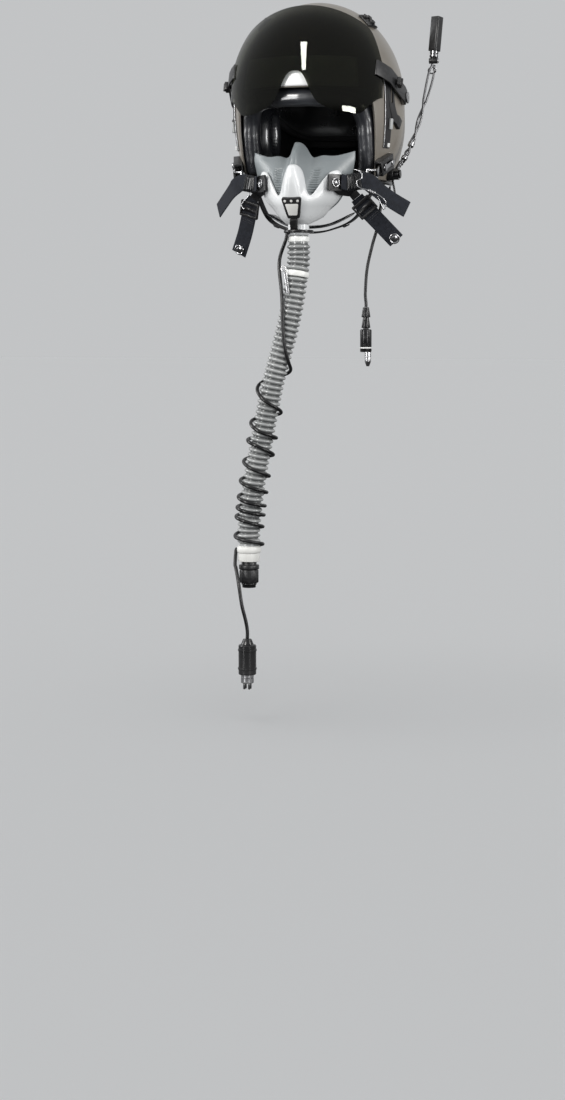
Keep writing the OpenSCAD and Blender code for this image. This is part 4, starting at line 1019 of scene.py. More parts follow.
# visor lens: a part of an ellipsoid with an arched notch over the nose
lensSet = {"rx": 128, "r": 145, "thick": 2.2, "half": 108, "low": -17, "lift": 11, "high": 57, "drop": 30,
           "notch": 27.5, "arch": (22, 3.2, 54), "corner": 82, "rows": 56, "columns": 120, "crowd": 0.35}


def lensPoint(off, x, a):
    r = (lensSet["r"] + off) * math.sqrt(1 - (x / (lensSet["rx"] + off)) ** 2)
    return np.array([x, -r * math.cos(math.radians(a)), shellSet["domeZ"] + r * math.sin(math.radians(a))])


def cornerShare(x):
    return (abs(x) - lensSet["corner"]) / (lensSet["half"] - lensSet["corner"])


def lensBottom(x):
    narrow, power, wide = lensSet["arch"]
    notch = (bell(x, narrow, power) + bell(x, wide)) / 2
    return lensSet["low"] + lensSet["notch"] * notch + lensSet["lift"] * ease(cornerShare(x))


def lensTop(x):
    return lensSet["high"] - lensSet["drop"] * clip(cornerShare(x)) ** 2


def visorLens():
    rows, columns, crowd = lensSet["rows"], lensSet["columns"], lensSet["crowd"]

    def grid(off):
        made = []
        for i in range(rows + 1):
            row = []
            for j in range(columns + 1):
                t = j / columns * 2 - 1
                x = lensSet["half"] * (math.sin(math.pi / 2 * t) * crowd + t * (1 - crowd))
                row.append(lensPoint(off, x, mix(lensTop(x), lensBottom(x), i / rows)))
            made.append(row)
        return made
    piece = sheetPiece("visorLens", grid(0), grid(-lensSet["thick"]), smokeLens)
    sharpen(piece, 50)
    return dress(piece, "visor_lens")


lensPiece = visorLens()

# hard fittings: name, CAD node, finish and the width of its rounded edges
sideFittings = [("Earcup", "earcup", mouldedBlack, 1.2), ("Earphone", "earphone", mouldedBlack, 0.4),
                ("VisorArm", "visor_arm", mouldedBlack, 0.5), ("VisorLock", "visor_lock", mouldedBlack, 0.8),
                ("Track", "track", mouldedBlack, 0.4), ("Pivot", "pivot", brightSteel, 0.4),
                ("Receiver", "receiver", mouldedBlack, 0.6), ("Latch", "latch", brightSteel, 0.4),
                ("Bayonet", "bayonet", brightSteel, 0.35)]
oneFittings = [("chinSnaps", "chin_snaps", brightSteel, 0.4), ("boomBase", "boom_base", mouldedBlack, 0.6),
               ("boomBlock", "boom_mic", mouldedBlack, 0.8), ("cordGland", "cord_gland", blackRubber, 1.0),
               ("hosePort", "hose_port", maskPlastic, 0.5), ("portRing", "port_ring", blackRubber, 0.8),
               ("micPlate", "mic_plate", mouldedBlack, 0.6), ("micWindow", "mic_window", whitePlastic, 0.3),
               ("micStem", "mic_stem", mouldedBlack, 0.6), ("micScrews", "mic_screws", whitePlastic, 0.25),
               ("strapTabs", "strap_tabs", mouldedBlack, 0.6), ("hoseClamp", "hose_clamp", whitePlastic, 0.4),
               ("hoseCuff", "hose_cuff", whitePlastic, 0.5),
               ("hoseConnector", "hose_connector", plugBlack, 0.5),
               ("connectorCollar", "connector_collar", plugBlack, 0.4)]
for _, side in bothSides:
    for name, node, material, width in sideFittings:
        softened(side + name, node + "_" + side, material, width)
for name, node, material, width in oneFittings:
    softened(name, node, material, width)
softened("crownClips", "crown_clips", mouldedBlack, 0.5, 60)
print("visor and fittings made")

# mask: face form and hard cover on one surface; a row is its share from the top, then z, y at the ridge, y at
# the front, y at the sides, width, ridge width and the sides' rise
maskSet = {"half": 72, "form": 4.5, "cover": 2.6, "gap": 2.3, "noseRise": 24, "nose": (13.5, 3.2),
           "wingRise": 14, "fill": (4.5, 30, 13), "ridge": 2.5, "riseShare": 0.6, "portY": -118,
           "portR": 10.6, "portRoom": 4.4, "portCut": (-157, -134), "under": (0.62, 0.25),
           "rows": [[0.00, -58, -126, -108, -84, 1.00, 8, 0], [0.15, -64, -146, -115, -86, 1.01, 10, 0],
                    [0.35, -88, -157, -135, -84, 0.92, 15, 0], [0.55, -116, -152, -141, -88, 0.70, 20, 2],
                    [0.75, -138, -138, -133, -94, 0.48, 20, 10], [0.88, -146, -120, -119, -94, 0.40, 20, 16],
                    [1.00, -140, -100, -100, -90, 0.38, 20, 18]],
           "blend": ((-0.05, 0.15), (-0.025, 0.22), (0, 0.26), (0.025, 0.22), (0.05, 0.15))}
formSet = {"rows": 60, "ribRows": (0.2, 0.34, 120), "columns": 70, "crowd": 1.15, "lip": 0.1, "lipThin": 0.55,
           "ribPitch": 3.4, "ribHeight": 1.3, "ribZone": (0.39, 0.085, 4), "zoneLean": 0.12,
           "zoneRows": (0.2, 0.5), "zoneEdge": 0.04, "zoneDeep": 1.5}
coverSet = {"rows": 70, "columns": 75, "half": 0.97, "low": 0.86, "edgeThin": (0.35, 1.6), "tongue": 2,
            "tongueWide": (0.16, 0.1), "tongueLong": (0.4, 0.2), "soften": (-0.04, -0.02, 0, 0.02, 0.04),
            "edge": [[0, 0.25], [0.1, 0.25], [0.17, 0.265], [0.21, 0.31], [0.26, 0.4], [0.32, 0.46],
                     [0.41, 0.5], [0.47, 0.46], [0.54, 0.35], [0.64, 0.25], [0.78, 0.24], [0.9, 0.34],
                     [1, 0.5]]}
maskShares = [r[0] for r in maskSet["rows"]]


def maskRow(s, k):
    return float(np.interp(s, maskShares, [r[k] for r in maskSet["rows"]]))


def maskPoint(s, t):
    reach = abs(t * maskSet["half"])
    fillHigh, fillAt, fillWide = maskSet["fill"]
    edge = maskSet["noseRise"] * bell(reach, *maskSet["nose"]) + maskSet["wingRise"] * t * t
    edge += fillHigh * bell(reach - fillAt, fillWide)
    z, yRidge, yFront, ySide, wide, ridge, rise = (maskRow(s, k) for k in range(1, 8))
    x = t * maskSet["half"] * wide
    z = z + edge * (1 - clip(s / maskSet["riseShare"])) ** 1.6 + rise * t * t
    y = yFront + (ySide - yFront) * abs(t) ** 2.8 + (yRidge - yFront) * bell(x, ridge, maskSet["ridge"])
    return np.array([x, y, z])


def maskOut(s, t):
    u = maskPoint(clip(s + 0.01), t) - maskPoint(clip(s - 0.01), t)
    v = maskPoint(s, t + 0.01) - maskPoint(s, t - 0.01)
    n = np.cross(v, u)
    return unit(-n if n[1] > 0 and s < 0.8 else n)


def softRow(s, t):
    # the drawn surface, with its rows blended so that no crease shows
    total, weight = np.zeros(3), 0
    for k, w in maskSet["blend"]:
        span = min(s, 1 - s) / 0.05
        total += w * maskPoint(clip(s + k * min(1, span)), t)
        weight += w
    return total / weight


def maskUnder(s):
    start, long = maskSet["under"]
    return ease((s - start) / long)


def cutPort(piece):
    # the round hole where the hose's port passes through
    radius = (maskSet["portR"] + maskSet["portRoom"]) / 1000
    z0, z1 = maskSet["portCut"]
    cutter = bmesh.new()
    bmesh.ops.create_cone(cutter, cap_ends=True, segments=72, radius1=radius, radius2=radius,
                          depth=(z1 - z0) / 1000)
    bmesh.ops.translate(cutter, verts=cutter.verts, vec=(0, maskSet["portY"] / 1000, (z0 + z1) / 2000))
    mesh = bpy.data.meshes.new("portCutter")
    cutter.to_mesh(mesh)
    cutter.free()
    cutAway(piece, linkObject("portCutter", mesh))


def formRib(s, t, z):
    # moulded ribs beside the nose, in a zone that is set in a little
    at, wide, power = formSet["ribZone"]
    first, last = formSet["zoneRows"]
    zone = bell(abs(t) - at - (s - 0.3) * formSet["zoneLean"], wide, power)
    zone *= ease((s - first) / formSet["zoneEdge"]) * ease((last - s) / formSet["zoneEdge"])
    rib = formSet["ribHeight"] * zone * math.sin(2 * math.pi * z / formSet["ribPitch"])
    return rib * 0.8 - formSet["zoneDeep"] * zone


def faceForm():
    rows, columns = formSet["rows"], formSet["columns"]
    start, long, fine = formSet["ribRows"]
    even = [i / rows for i in range(rows + 1)]
    shares = sorted(set(even + [start + long * i / fine for i in range(fine + 1)]))
    across = [math.copysign(abs(i / columns) ** formSet["crowd"], i) for i in range(-columns, columns + 1)]
    outer, inner = [], []
    for s in shares:
        rowOut, rowIn = [], []
        lip = ease((formSet["lip"] - s) / formSet["lip"])
        form = maskSet["form"] * (1 - formSet["lipThin"] * lip)
        under = maskUnder(s)
        for t in across:
            p = softRow(s, t)
            rowOut.append(p + maskOut(s, t) * formRib(s, t, p[2]))
            rowIn.append(np.array([p[0] * (1 - form / maskSet["half"]), p[1] + form * (1 - under * 0.5),
                                   p[2] + form * 1.2 * under]))
        outer.append(rowOut)
        inner.append(rowIn)
    piece = sheetPiece("faceForm", outer, inner, maskRubber)
    cutPort(piece)
    dress(piece, "face_form")


def coverTop(t):
    edgeT, edgeS = zip(*coverSet["edge"])
    return sum(float(np.interp(abs(t + k), edgeT, edgeS)) * 0.2 for k in coverSet["soften"])


def maskCover():
    rows, columns = coverSet["rows"], coverSet["columns"]
    across = [k / columns * coverSet["half"] for k in range(-columns, columns + 1)]
    thin, fade = coverSet["edgeThin"]
    tongueAt, tongueEdge = coverSet["tongueWide"]
    tongueLow, tongueFade = coverSet["tongueLong"]
    half, gap = maskSet["half"], maskSet["gap"]

    def grid(out):
        made = []
        for i in range(rows + 1):
            row = []
            edge = 1 - math.exp(-i / fade)
            o = out * mix(thin, 1, edge)
            for t in across:
                s = mix(coverTop(t), coverSet["low"], i / rows)
                p = softRow(s, t)
                under = maskUnder(s)
                raised = 0
                if out > 0:
                    raised = coverSet["tongue"] * (1 - ease((abs(t) - tongueAt) / tongueEdge))
                    raised *= 1 - ease((s - tongueLow) / tongueFade)
                row.append(np.array([p[0] * (1 + o * 0.9 / half),
                                     p[1] - (gap + o + raised * edge) * (1 - under * 0.5),
                                     p[2] - (gap + o) * under]))
            made.append(row)
        return made
    piece = sheetPiece("maskCover", grid(maskSet["cover"]), grid(0), maskPlastic)
    cutPort(piece)
    sharpen(piece, 55)
    dress(piece, "mask_shell")


faceForm()
maskCover()

# the cuff's bead and the two plugs are turned forms, with heights measured down from where each cord ends
plugSet = {"down": (0, 0, -1), "start": 0.3,
           "beadAt": (-69, -128, -591.6),
           "bead": [(14.9, 0), (16.1, 0.7), (16.7, 2.6), (16.9, 5), (16.6, 7.6), (15.9, 9.4), (14.9, 10),
                    (14.6, 5)],
           "mic": [(0.3, 0), (5.6, 0), (6.2, 0.7), (8.8, 7.2), (11.5, 8.1), (12.4, 9.4), (12.4, 13.8),
                   (13.2, 14.3), (13.2, 16.7), (12.4, 17.2), (12.4, 39.8), (13.2, 40.3), (13.2, 42.7),
                   (12.4, 43.2), (12.4, 48.8), (11.6, 50), (0.3, 50)],
           "micEnd": [(0.3, 49.7), (9, 49.9), (9, 54), (8.3, 54.5), (9, 55), (9, 61.2), (8.3, 62), (0.3, 62)],
           "pins": (4, 5), "pin": [(0.2, 61.5), (1.6, 61.6), (1.6, 70), (1.1, 70.8), (0.2, 71)],
           "head": [(0.3, 0), (3.9, 0), (4.3, 0.3), (6.4, 13.2), (6.1, 14), (4.1, 14.4), (4.3, 15.3),
                    (6.4, 28.2), (6.1, 29), (4, 29.4), (4, 30.8), (7.2, 31), (8.2, 32.2), (8.2, 61.6),
                    (7.4, 63), (0.3, 63)],
           "headRing": [(8.1, 56), (8.45, 56.2), (8.45, 57.8), (8.1, 58), (7.9, 57)],
           "tipAt": (3, 0, 0),
           "tip": [(0.3, 62.8), (4.6, 62.9), (4.6, 65.6), (3.9, 65.9), (3.9, 66.5), (4.6, 66.8), (4.6, 69.4),
                   (3.9, 69.7), (3.9, 70.3), (4.6, 70.6), (4.6, 73.2), (3.9, 73.5), (3.9, 74.1), (4.5, 74.4),
                   (4.5, 76.4), (3.8, 78.2), (2.9, 80.6), (2, 83), (0.3, 83)]}
down = np.array(plugSet["down"], float)


def microphonePlug():
    foot = np.array(micCordSet["tail"][-1], float) + down * plugSet["start"]
    parts = [turnedPiece("microphonePlug", foot, down, plugSet["mic"], plugBlack, 48, False, 30),
             turnedPiece("plugEnd", foot, down, plugSet["micEnd"], brightSteel, 40, False, 30)]
    count, circle = plugSet["pins"]
    for k in range(count):
        a = 2 * math.pi * (k + 0.5) / count
        pin = foot + circle * np.array([math.cos(a), math.sin(a), 0])
        parts.append(turnedPiece("plugPin", pin, down, plugSet["pin"], brightSteel, 14, False, 40))
    return dress(joinPieces("microphonePlug", parts), "mic_plug")


def headsetPlug():
    foot = np.array(headCordSet["route"][-1], float) + down * plugSet["start"]
    tipFoot = foot + np.array(plugSet["tipAt"])
    parts = [turnedPiece("headsetPlug", foot, down, plugSet["head"], plugBlack, 40, False, 30),
             turnedPiece("plugRing", foot, down, plugSet["headRing"], whitePlastic, 40, True, 30),
             turnedPiece("plugTip", tipFoot, down, plugSet["tip"], brightSteel, 32, False, 30)]
    return dress(joinPieces("headsetPlug", parts), "head_plug")


cuffBead = turnedPiece("cuffBead", np.array(plugSet["beadAt"]), down, plugSet["bead"], whitePlastic, 48, True)
dress(cuffBead, body="mask", slot="white_plastic")
micPlugPiece = microphonePlug()
headPlugPiece = headsetPlug()

# webbing on the mask, each strap as a woven band that widens away from its tab
webSet = {"wide": 19, "thick": 1.8, "grow": 1.25, "upperAcross": (0, 0.1, 1),
          "upperLeft": [[60.4, -116.6, -87.6], [67.6, -106, -89], [77, -99, -87], [90, -94, -86],
                        [103, -91, -96], [121, -77, -111], [141, -64, -124]],
          "upperRight": [[60.4, -116.6, -87.6], [67.6, -106, -89], [77, -99, -87], [90, -94, -86],
                         [102, -91, -95], [117, -78, -109], [131, -64, -122]],
          "lowerLeft": [[74, -82, -108], [84, -76, -121], [103, -62, -143], [123, -48, -166]],
          "lowerRight": [[74, -82, -108], [80, -78.4, -116], [84, -73, -130], [93, -62, -155],
                         [106, -48, -182]]}


def webLine(part, sign, label, steps):
    return onSide(curvePoints(webSet[part + label.title()], steps), sign)


def lowerAcross(sign):
    return (sign * 0.7, 0, 0.7)


def maskStraps(sign, label):
    name = label + "MaskStraps"
    wide, thick, grow = webSet["wide"], webSet["thick"], webSet["grow"]
    first = bandPiece(name, webLine("upper", sign, label, 70), wide, thick, greyWeb, webSet["upperAcross"],
                      width=lambda t: mix(1.1, grow, ease(t / 0.45)))
    second = bandPiece(name + "Lower", webLine("lower", sign, label, 60), wide, thick, greyWeb,
                       lowerAcross(sign), width=lambda t: mix(1, grow, ease((t - 0.05) / 0.3)))
    dress(joinPieces(name, [first, second]), "mask_straps_" + label)


for sign, label in bothSides:
    maskStraps(sign, label)
print("mask made")

# small hardware: ringed screws, snaps, ribbed keepers, strap adjusters, wire hooks and a cord clip
fittingSet = {"screw": [(0.92, -0.1), (1, 0.12), (1, 0.32), (0.9, 0.5), (0.6, 0.62), (0.25, 0.66),
                        (0.03, 0.67)],
              "slot": (3, 0.24, 0.5), "slotAt": 0.72, "tabScrew": (0.8, 2.9),
              "ring": [(0, 0), (0, 0.9), (-0.35, 1.35), (-1.1, 1.5), (-1.7, 1.1), (-1.9, 0.5)],
              "well": [(-1.75, 0.3), (-1.8, 0.72)], "wellFloor": [(3.2, 0.78), (0.1, 0.8)],
              "snap": [(0.94, 0, 0), (1, 0, 0.3), (1, 1, -0.7), (0.93, 1, -0.1), (0.82, 1, 0),
                       (0.74, 1, -0.25), (0.68, 1, -0.6), (0.6, 1, -0.55), (0.5, 1, -0.1), (0.3, 1, 0.15),
                       (0.02, 1, 0.2)],
              "keepers": (11.5, 4.4, 5), "keeper": (24, 3.0, 5.4), "adjusterAt": 17, "adjuster": (29, 23, 4.2),
              "windows": 5.2, "window": (23.6, 4.6, 12),
              "stitchRows": (33, 36), "stitchHalf": 10, "stitch": (1.9, 1.1, 0.28, 0.3)}


def discFrame(node, sign):
    # base, outward axis, radius and height of a round fitting, from one side of its CAD solids
    points = np.array([v.co[:] for v in nodes[node].data.vertices]) * 1000
    points = points[points[:, 0] * sign > 0]
    centre = points.mean(axis=0)
    axis = facing(np.linalg.svd(points - centre, full_matrices=False)[2][2], (0, -1, 0))
    heights = (points - centre) @ axis
    spread = points - centre - heights[:, None] * axis
    reach = float(np.linalg.norm(spread, axis=1).max())
    return centre + axis * heights.min(), axis, reach, float(np.ptp(heights))


def slottedScrew(name, centre, axis, radius, turn):
    profile = [(r * radius, h * radius) for r, h in fittingSet["screw"]]
    head = turnedPiece(name, centre, axis, profile, brightSteel, 32)
    u, v, n = axesAt(axis)
    a = math.radians(turn)
    along = math.cos(a) * u + math.sin(a) * v
    sizes = [radius * k for k in fittingSet["slot"]]
    place = centre + n * radius * fittingSet["slotAt"]
    return cutAway(head, blockPiece("slotCutter", place, (along, np.cross(n, along), n), sizes, brightSteel))


def tabScrews(sign, label):
    base, axis, reach, _ = discFrame("tab_screws", sign)
    ringProfile = [(reach + r, h) for r, h in fittingSet["ring"]] + [(0.1, 0.5)]
    wellProfile = [(reach + r, h) for r, h in fittingSet["well"]] + fittingSet["wellFloor"]
    dressPair(turnedPiece(label + "TabRing", base, axis, ringProfile, brightSteel, 48), sign, "tab_screws")
    well = turnedPiece(label + "TabWell", base, axis, wellProfile, plugBlack, 40)
    dress(well, body="mask", slot="black_plastic")
    lift, radius = fittingSet["tabScrew"]
    screw = slottedScrew(label + "TabScrew", base + axis * lift, axis, radius, 35 + 50 * sign)
    dress(screw, body="mask", slot="steel")


def strapSnap(sign, label):
    base, axis, reach, tall = discFrame("strap_snaps", sign)
    profile = [(reach * r, tall * k + h) for r, k, h in fittingSet["snap"]]
    dressPair(turnedPiece(label + "StrapSnap", base, axis, profile, brightSteel, 48), sign, "strap_snaps")


def stationOn(line, run):
    marks = runMarks(line)
    i = int(np.searchsorted(marks, run)) - 1
    f = (run - marks[i]) / (marks[i + 1] - marks[i])
    return mix(np.array(line[i]), np.array(line[i + 1]), f), wayAt(line, i)


def strapKeepers(sign, label):
    line = webLine("upper", sign, label, 140)
    first, gap, count = fittingSet["keepers"]
    wide, long, thick = fittingSet["keeper"]
    loops = []
    for k in range(count):
        p, d = stationOn(line, first + gap * k)
        ends = [p + d * long * t for t in (-0.5, -0.4, 0.4, 0.5)]
        loops.append(bandPiece(label + "Keeper", ends, wide, thick, blackRubber, webSet["upperAcross"], 0.5,
                               lambda t: 0.97 if t in (0, 1) else 1))
    dress(joinPieces(label + "Keepers", loops), body="mask", slot="black_rubber")


def strapAdjuster(sign, label, line):
    p, d = stationOn(line, fittingSet["adjusterAt"])
    n = facing(unit(np.cross(d, lowerAcross(sign))), (0, -1, 0))
    axes = (np.cross(d, n), d, n)
    block = blockPiece(label + "StrapAdjuster", p + n * 0.6, axes, fittingSet["adjuster"], mouldedBlack, 1.1)
    windows = [blockPiece("windowCutter", p + n * 0.6 + d * k * fittingSet["windows"], axes,
                          fittingSet["window"], mouldedBlack) for k in (-1, 1)]
    dress(cutAway(block, *windows), body="mask", slot="black_plastic")


def stitchRow(name, start, stop, lift):
    # one row of stitches along a straight seam
    long, gap, high, radius = fittingSet["stitch"]
    way = unit(stop - start)
    stitches = []
    for k in range(int(np.linalg.norm(stop - start) / (long + gap))):
        a = start + way * (k * (long + gap) + 0.4)
        line = [a + way * long * t + lift * high * math.sin(math.pi * t) for t in (0, 0.25, 0.5, 0.75, 1)]
        stitches.append(tubePiece(name, line, radius, threadBlack, 6, tuple(lift)))
    return joinPieces(name, stitches)


def strapStitches(sign, label, line):
    rows = []
    for run in fittingSet["stitchRows"]:
        p, d = stationOn(line, run)
        n = facing(unit(np.cross(d, lowerAcross(sign))), (0, -1, 0))
        reach = np.cross(d, n) * fittingSet["stitchHalf"]
        rows.append(stitchRow(label + "Stitches", p + n * 1.0 - reach, p + n * 1.0 + reach, n))
    dress(joinPieces(label + "Stitches", rows), body="mask", slot="grey_web")


for sign, label in bothSides:
    tabScrews(sign, label)
    strapSnap(sign, label)
    strapKeepers(sign, label)
    lowerLine = webLine("lower", sign, label, 120)
    strapAdjuster(sign, label, lowerLine)
    strapStitches(sign, label, lowerLine)

# bent wires beside the straps, and the clip that holds the microphone's cord
wireSet = {"side": (0.1, 0.2, 1), "wire": 0.85, "hook": 1.1,
           "wireRoute": [[74.1, -103.0, -70.6], [84.0, -104.0, -73.6], [86.1, -105.0, -82.5],
                         [79.1, -107.0, -87.2], [82.7, -107.0, -95.4], [92.8, -105.0, -98.6],
                         [102.6, -102.0, -102.2], [114.4, -98.0, -110.3], [118.0, -95.0, -117.0],
                         [114.8, -94.0, -125.1], [110.5, -96.0, -116.3], [106.9, -99.0, -107.6]],
           "hookRoute": [[-85.5, -95.0, -87.3], [-77.0, -97.0, -94.5], [-77.7, -97.0, -104.1],
                         [-84.8, -95.0, -110.8], [-89.1, -93.0, -117.5], [-84.7, -93.0, -121.8]],
           "crimp": ([94.1, -104.8, -99.1], [104.6, -101.4, -103.7]),
           "crimpSteps": [(0, 1.5), (0.04, 2.2), (0.12, 2.5), (0.3, 2.5), (0.36, 1.9), (0.42, 2.5), (0.6, 2.5),
                          (0.66, 1.9), (0.72, 2.5), (0.88, 2.5), (0.96, 2.2), (1, 1.5)],
           "clip": ([-13.2, -140.0, -210.6], [-8.5, -142.0, -240.7]), "clipSize": (4.6, 2.2, 0.35),
           "clipRing": [-15.8, -139.0, -205.8], "clipRingSize": (3.4, 0.25, 0.8)}


def cordClip():
    start, stop = (np.array(p) for p in wireSet["clip"])
    wide, thick, taper = wireSet["clipSize"]
    jaw = bandPiece("cordClip", [mix(start, stop, t) for t in (0, 0.05, 0.4, 0.8, 0.95, 1)], wide, thick,
                    brightSteel, (1, 0.1, 0), 0.5, lambda t: 1 - taper * t)
    r, lean, wire = wireSet["clipRingSize"]
    loop = circleLine(np.array(wireSet["clipRing"]), r * np.array([1.0, 0, 0]), r * np.array([0, lean, 1.0]))
    ring = tubePiece("clipRing", loop, wire, brightSteel, 10, (0, 1, 0))
    return joinPieces("cordClip", [jaw, ring])


crimpFrom, crimpTo = (np.array(p) for p in wireSet["crimp"])
crimpShares, crimpRadii = zip(*wireSet["crimpSteps"])
wireLine = relaxed(curvePoints(wireSet["wireRoute"], 120), 4)
hookLine = relaxed(curvePoints(wireSet["hookRoute"], 60), 3)
crimpLine = [mix(crimpFrom, crimpTo, t) for t in crimpShares]
for piece in (tubePiece("keeperWire", wireLine, wireSet["wire"], brightSteel, 10, wireSet["side"]),
              steppedTube("wireCrimp", crimpLine, crimpRadii, brightSteel, wireSet["side"]),
              tubePiece("sideHook", hookLine, wireSet["hook"], brightSteel, 10, (1, 0.2, 0.1)),
              cordClip()):
    dress(piece, body="mask", slot="steel")

# side guides on the shell, their stops, and the screws of the receivers
guideSet = {"angles": (64, 70), "lean": 3, "z": (57, -38), "rise": 1.5, "sink": 0.15, "rows": 40, "columns": 8,
            "edge": (-1.2, 0.35, 0.75, 60), "blocks": 0.9,
            "stop": ("GuideStop", 70.6, -5, (6.5, 15, 3.4), labelGrey),
            "tip": ("GuideTip", 70.6, -34, (5, 6, 2.6), whitePlastic),
            "receiver": (105.5, -50, -61), "tilt": 24, "yaw": -15, "screws": (6.0, 12.5, 2.3)}


def sideGuide(sign, label):
    rows, columns, sink = guideSet["rows"], guideSet["columns"], guideSet["sink"]

    def grid(off):
        return [[onDome(off, sign * (mix(*guideSet["angles"], j / columns) + guideSet["lean"] * i / rows),
                        mix(*guideSet["z"], i / rows)) for j in range(columns + 1)] for i in range(rows + 1)]
    guide = sheetPiece(label + "SideGuide", grid(-sink - guideSet["rise"]), grid(-sink), mouldedBlack)
    sharpen(guide, 50)
    dress(guide, body="helmet", slot="black_plastic")
    off, back, radius, steps = guideSet["edge"]
    edgeLine = [onDome(off, sign * (guideSet["angles"][0] + guideSet["lean"] * i / steps - back),
                       mix(*guideSet["z"], i / steps)) for i in range(steps + 1)]
    edge = tubePiece(label + "GuideEdge", edgeLine, radius, brightSteel, 8, (1, 0.1, 0.2))
    dress(edge, body="helmet", slot="steel")
    for name, angle, z, sizes, paint in (guideSet["stop"], guideSet["tip"]):
        n = domeOut(sign * angle, z)
        up = unit(onDome(0, sign * angle, z + 2) - onDome(0, sign * angle, z - 2))
        place = onDome(-sink - guideSet["rise"] - sizes[2] / 2 + 0.2, sign * angle, z)
        block = blockPiece(label + name, place, (np.cross(up, n), up, n), sizes, paint, guideSet["blocks"])
        dress(block, body="helmet", slot="white_plastic")


def receiverScrews(sign, label):
    tilt, yaw = math.radians(guideSet["tilt"]), math.radians(guideSet["yaw"])
    lift, apart, radius = guideSet["screws"]
    for k in (-1, 1):
        x = lift * math.cos(yaw) - apart * k * math.sin(yaw)
        y = lift * math.sin(yaw) + apart * k * math.cos(yaw)
        place = np.array([x, y * math.cos(tilt), y * math.sin(tilt)]) + np.array(guideSet["receiver"])
        axis = np.array([math.cos(yaw), math.sin(yaw) * math.cos(tilt), math.sin(yaw) * math.sin(tilt)])
        place[0], axis[0] = sign * place[0], sign * axis[0]
        screw = slottedScrew(label + "ReceiverScrew", place, axis, radius, 20 + 60 * k)
        dress(screw, body="helmet", slot="steel")


# round snaps on the ribbed crown clips, each as its place across, its place along and its radius
crownSet = {"angle": 77, "tilt": 39.5, "lift": 4.2, "tall": 3.2,
            "snaps": [(-6.2, -4.6, 3.9), (6.2, -4.6, 3.9), (0, 5.2, 4.8)],
            "foot": -2, "top": [(0, -0.9), (-0.4, -0.2), (-1.1, 0), (-1.7, -0.5), (-2.1, -1.2)],
            "floor": (0.1, -1.1)}


def crownSnaps(sign, label):
    def crownPoint(turn, tip):
        tilt = math.radians(crownSet["tilt"] + tip)
        return domePoint(-crownSet["lift"], sign * (crownSet["angle"] + turn), tilt)
    middle, tall = crownPoint(0, 0), crownSet["tall"]
    across = unit(crownPoint(1, 0) - crownPoint(-1, 0))
    along = unit(crownPoint(0, 1) - crownPoint(0, -1))
    out = facing(unit(np.cross(across, along)), middle)
    snaps = []
    for u, v, r in crownSet["snaps"]:
        profile = [(r, crownSet["foot"])] + [(r + a, tall + h) for a, h in crownSet["top"]]
        profile.append((crownSet["floor"][0], tall + crownSet["floor"][1]))
        place = middle + u * across + v * along
        snaps.append(turnedPiece(label + "CrownSnaps", place, out, profile, mouldedBlack, 28))
    dress(joinPieces(label + "CrownSnaps", snaps), body="helmet", slot="black_plastic")


for sign, label in bothSides:
    sideGuide(sign, label)
    receiverScrews(sign, label)
    crownSnaps(sign, label)
print("small hardware made")

# boom: two drawn wires twisted together, with crimped sleeves, a swivel under the block and a loose ring
boomSet = {"route": [[121, -13, -58], [127, -8, -46], [136, 5, -20], [148, 24, 35], [157, 37, 84]],
           "wire": 3.2, "twist": 1150, "twistEnd": 0.74, "spread": (2.1, 2.6), "opens": (0.68, 0.2),
           "closes": (0.9, 0.1), "steps": 200, "side": (1, 0.1, 0.1), "wiresFrom": -0.054,
           "sleeves": ((0.17, 0.235), (0.4, 0.455)),
           "sleeveSteps": [(0, 3.6), (0.06, 4.3), (0.2, 4.5), (0.4, 4.5), (0.5, 3.9), (0.6, 4.5), (0.8, 4.5),
                           (0.94, 4.3), (1, 3.6)],
           "elbow": (0, 0, 5.2), "blockWay": (4, 8, 66), "elbowScrew": (5.6, 3.5, 40),
           "swivel": [(2.6, 4.4), (5.6, 4.6), (6.1, 5.2), (6.1, 7.8), (5.2, 8.4), (5.2, 9.6), (6.1, 10.2),
                      (6.1, 13.2), (5.4, 14.2), (2.6, 14.4)],
           "hoop": (0.94, 5.4, 1.0), "hoopLean": (0.8, -0.6)}


def boomWire(k):
    line = []
    near, more = boomSet["spread"]
    opens, opensLong = boomSet["opens"]
    closes, closesLong = boomSet["closes"]
    for i in range(boomSet["steps"] + 1):
        t = i / boomSet["steps"]
        p, d = curveAt(boomSet["route"], t), curveDir(boomSet["route"], t)
        u = unit(np.cross(d, (0, 1, 0)))
        v = np.cross(u, d)
        spread = near + more * ease((t - opens) / opensLong) * (1 - ease((t - closes) / closesLong))
        a = math.radians(k + boomSet["twist"] * min(t, boomSet["twistEnd"]))
        line.append(p + spread * (math.cos(a) * u + math.sin(a) * v))
    return line


def boomKnuckle():
    # the arm's CAD solid without its wires, which are drawn finer here
    knuckle = softened("boomKnuckle", "boom_arm", darkSteel, 0)
    shaped = bmesh.new()
    shaped.from_mesh(knuckle.data)
    for face in [f for f in shaped.faces if f.calc_center_median().z > boomSet["wiresFrom"]]:
        shaped.faces.remove(face)
    shaped.to_mesh(knuckle.data)
    shaped.free()


def boomSleeve(start, stop):
    shares, radii = zip(*boomSet["sleeveSteps"])
    line = [curveAt(boomSet["route"], mix(start, stop, t)) for t in shares]
    return steppedTube("boomSleeve", line, radii, brightSteel, boomSet["side"])


def boomHoop():
    share, r, wire = boomSet["hoop"]
    along, front = boomSet["hoopLean"]
    rise = along * curveDir(boomSet["route"], share) + np.array([0, front, 0])
    loop = circleLine(curveAt(boomSet["route"], share), r * np.array([1.0, 0, 0]), r * rise)
    return tubePiece("boomHoop", loop, wire, brightSteel, 10, (0.1, -1, 0.3))


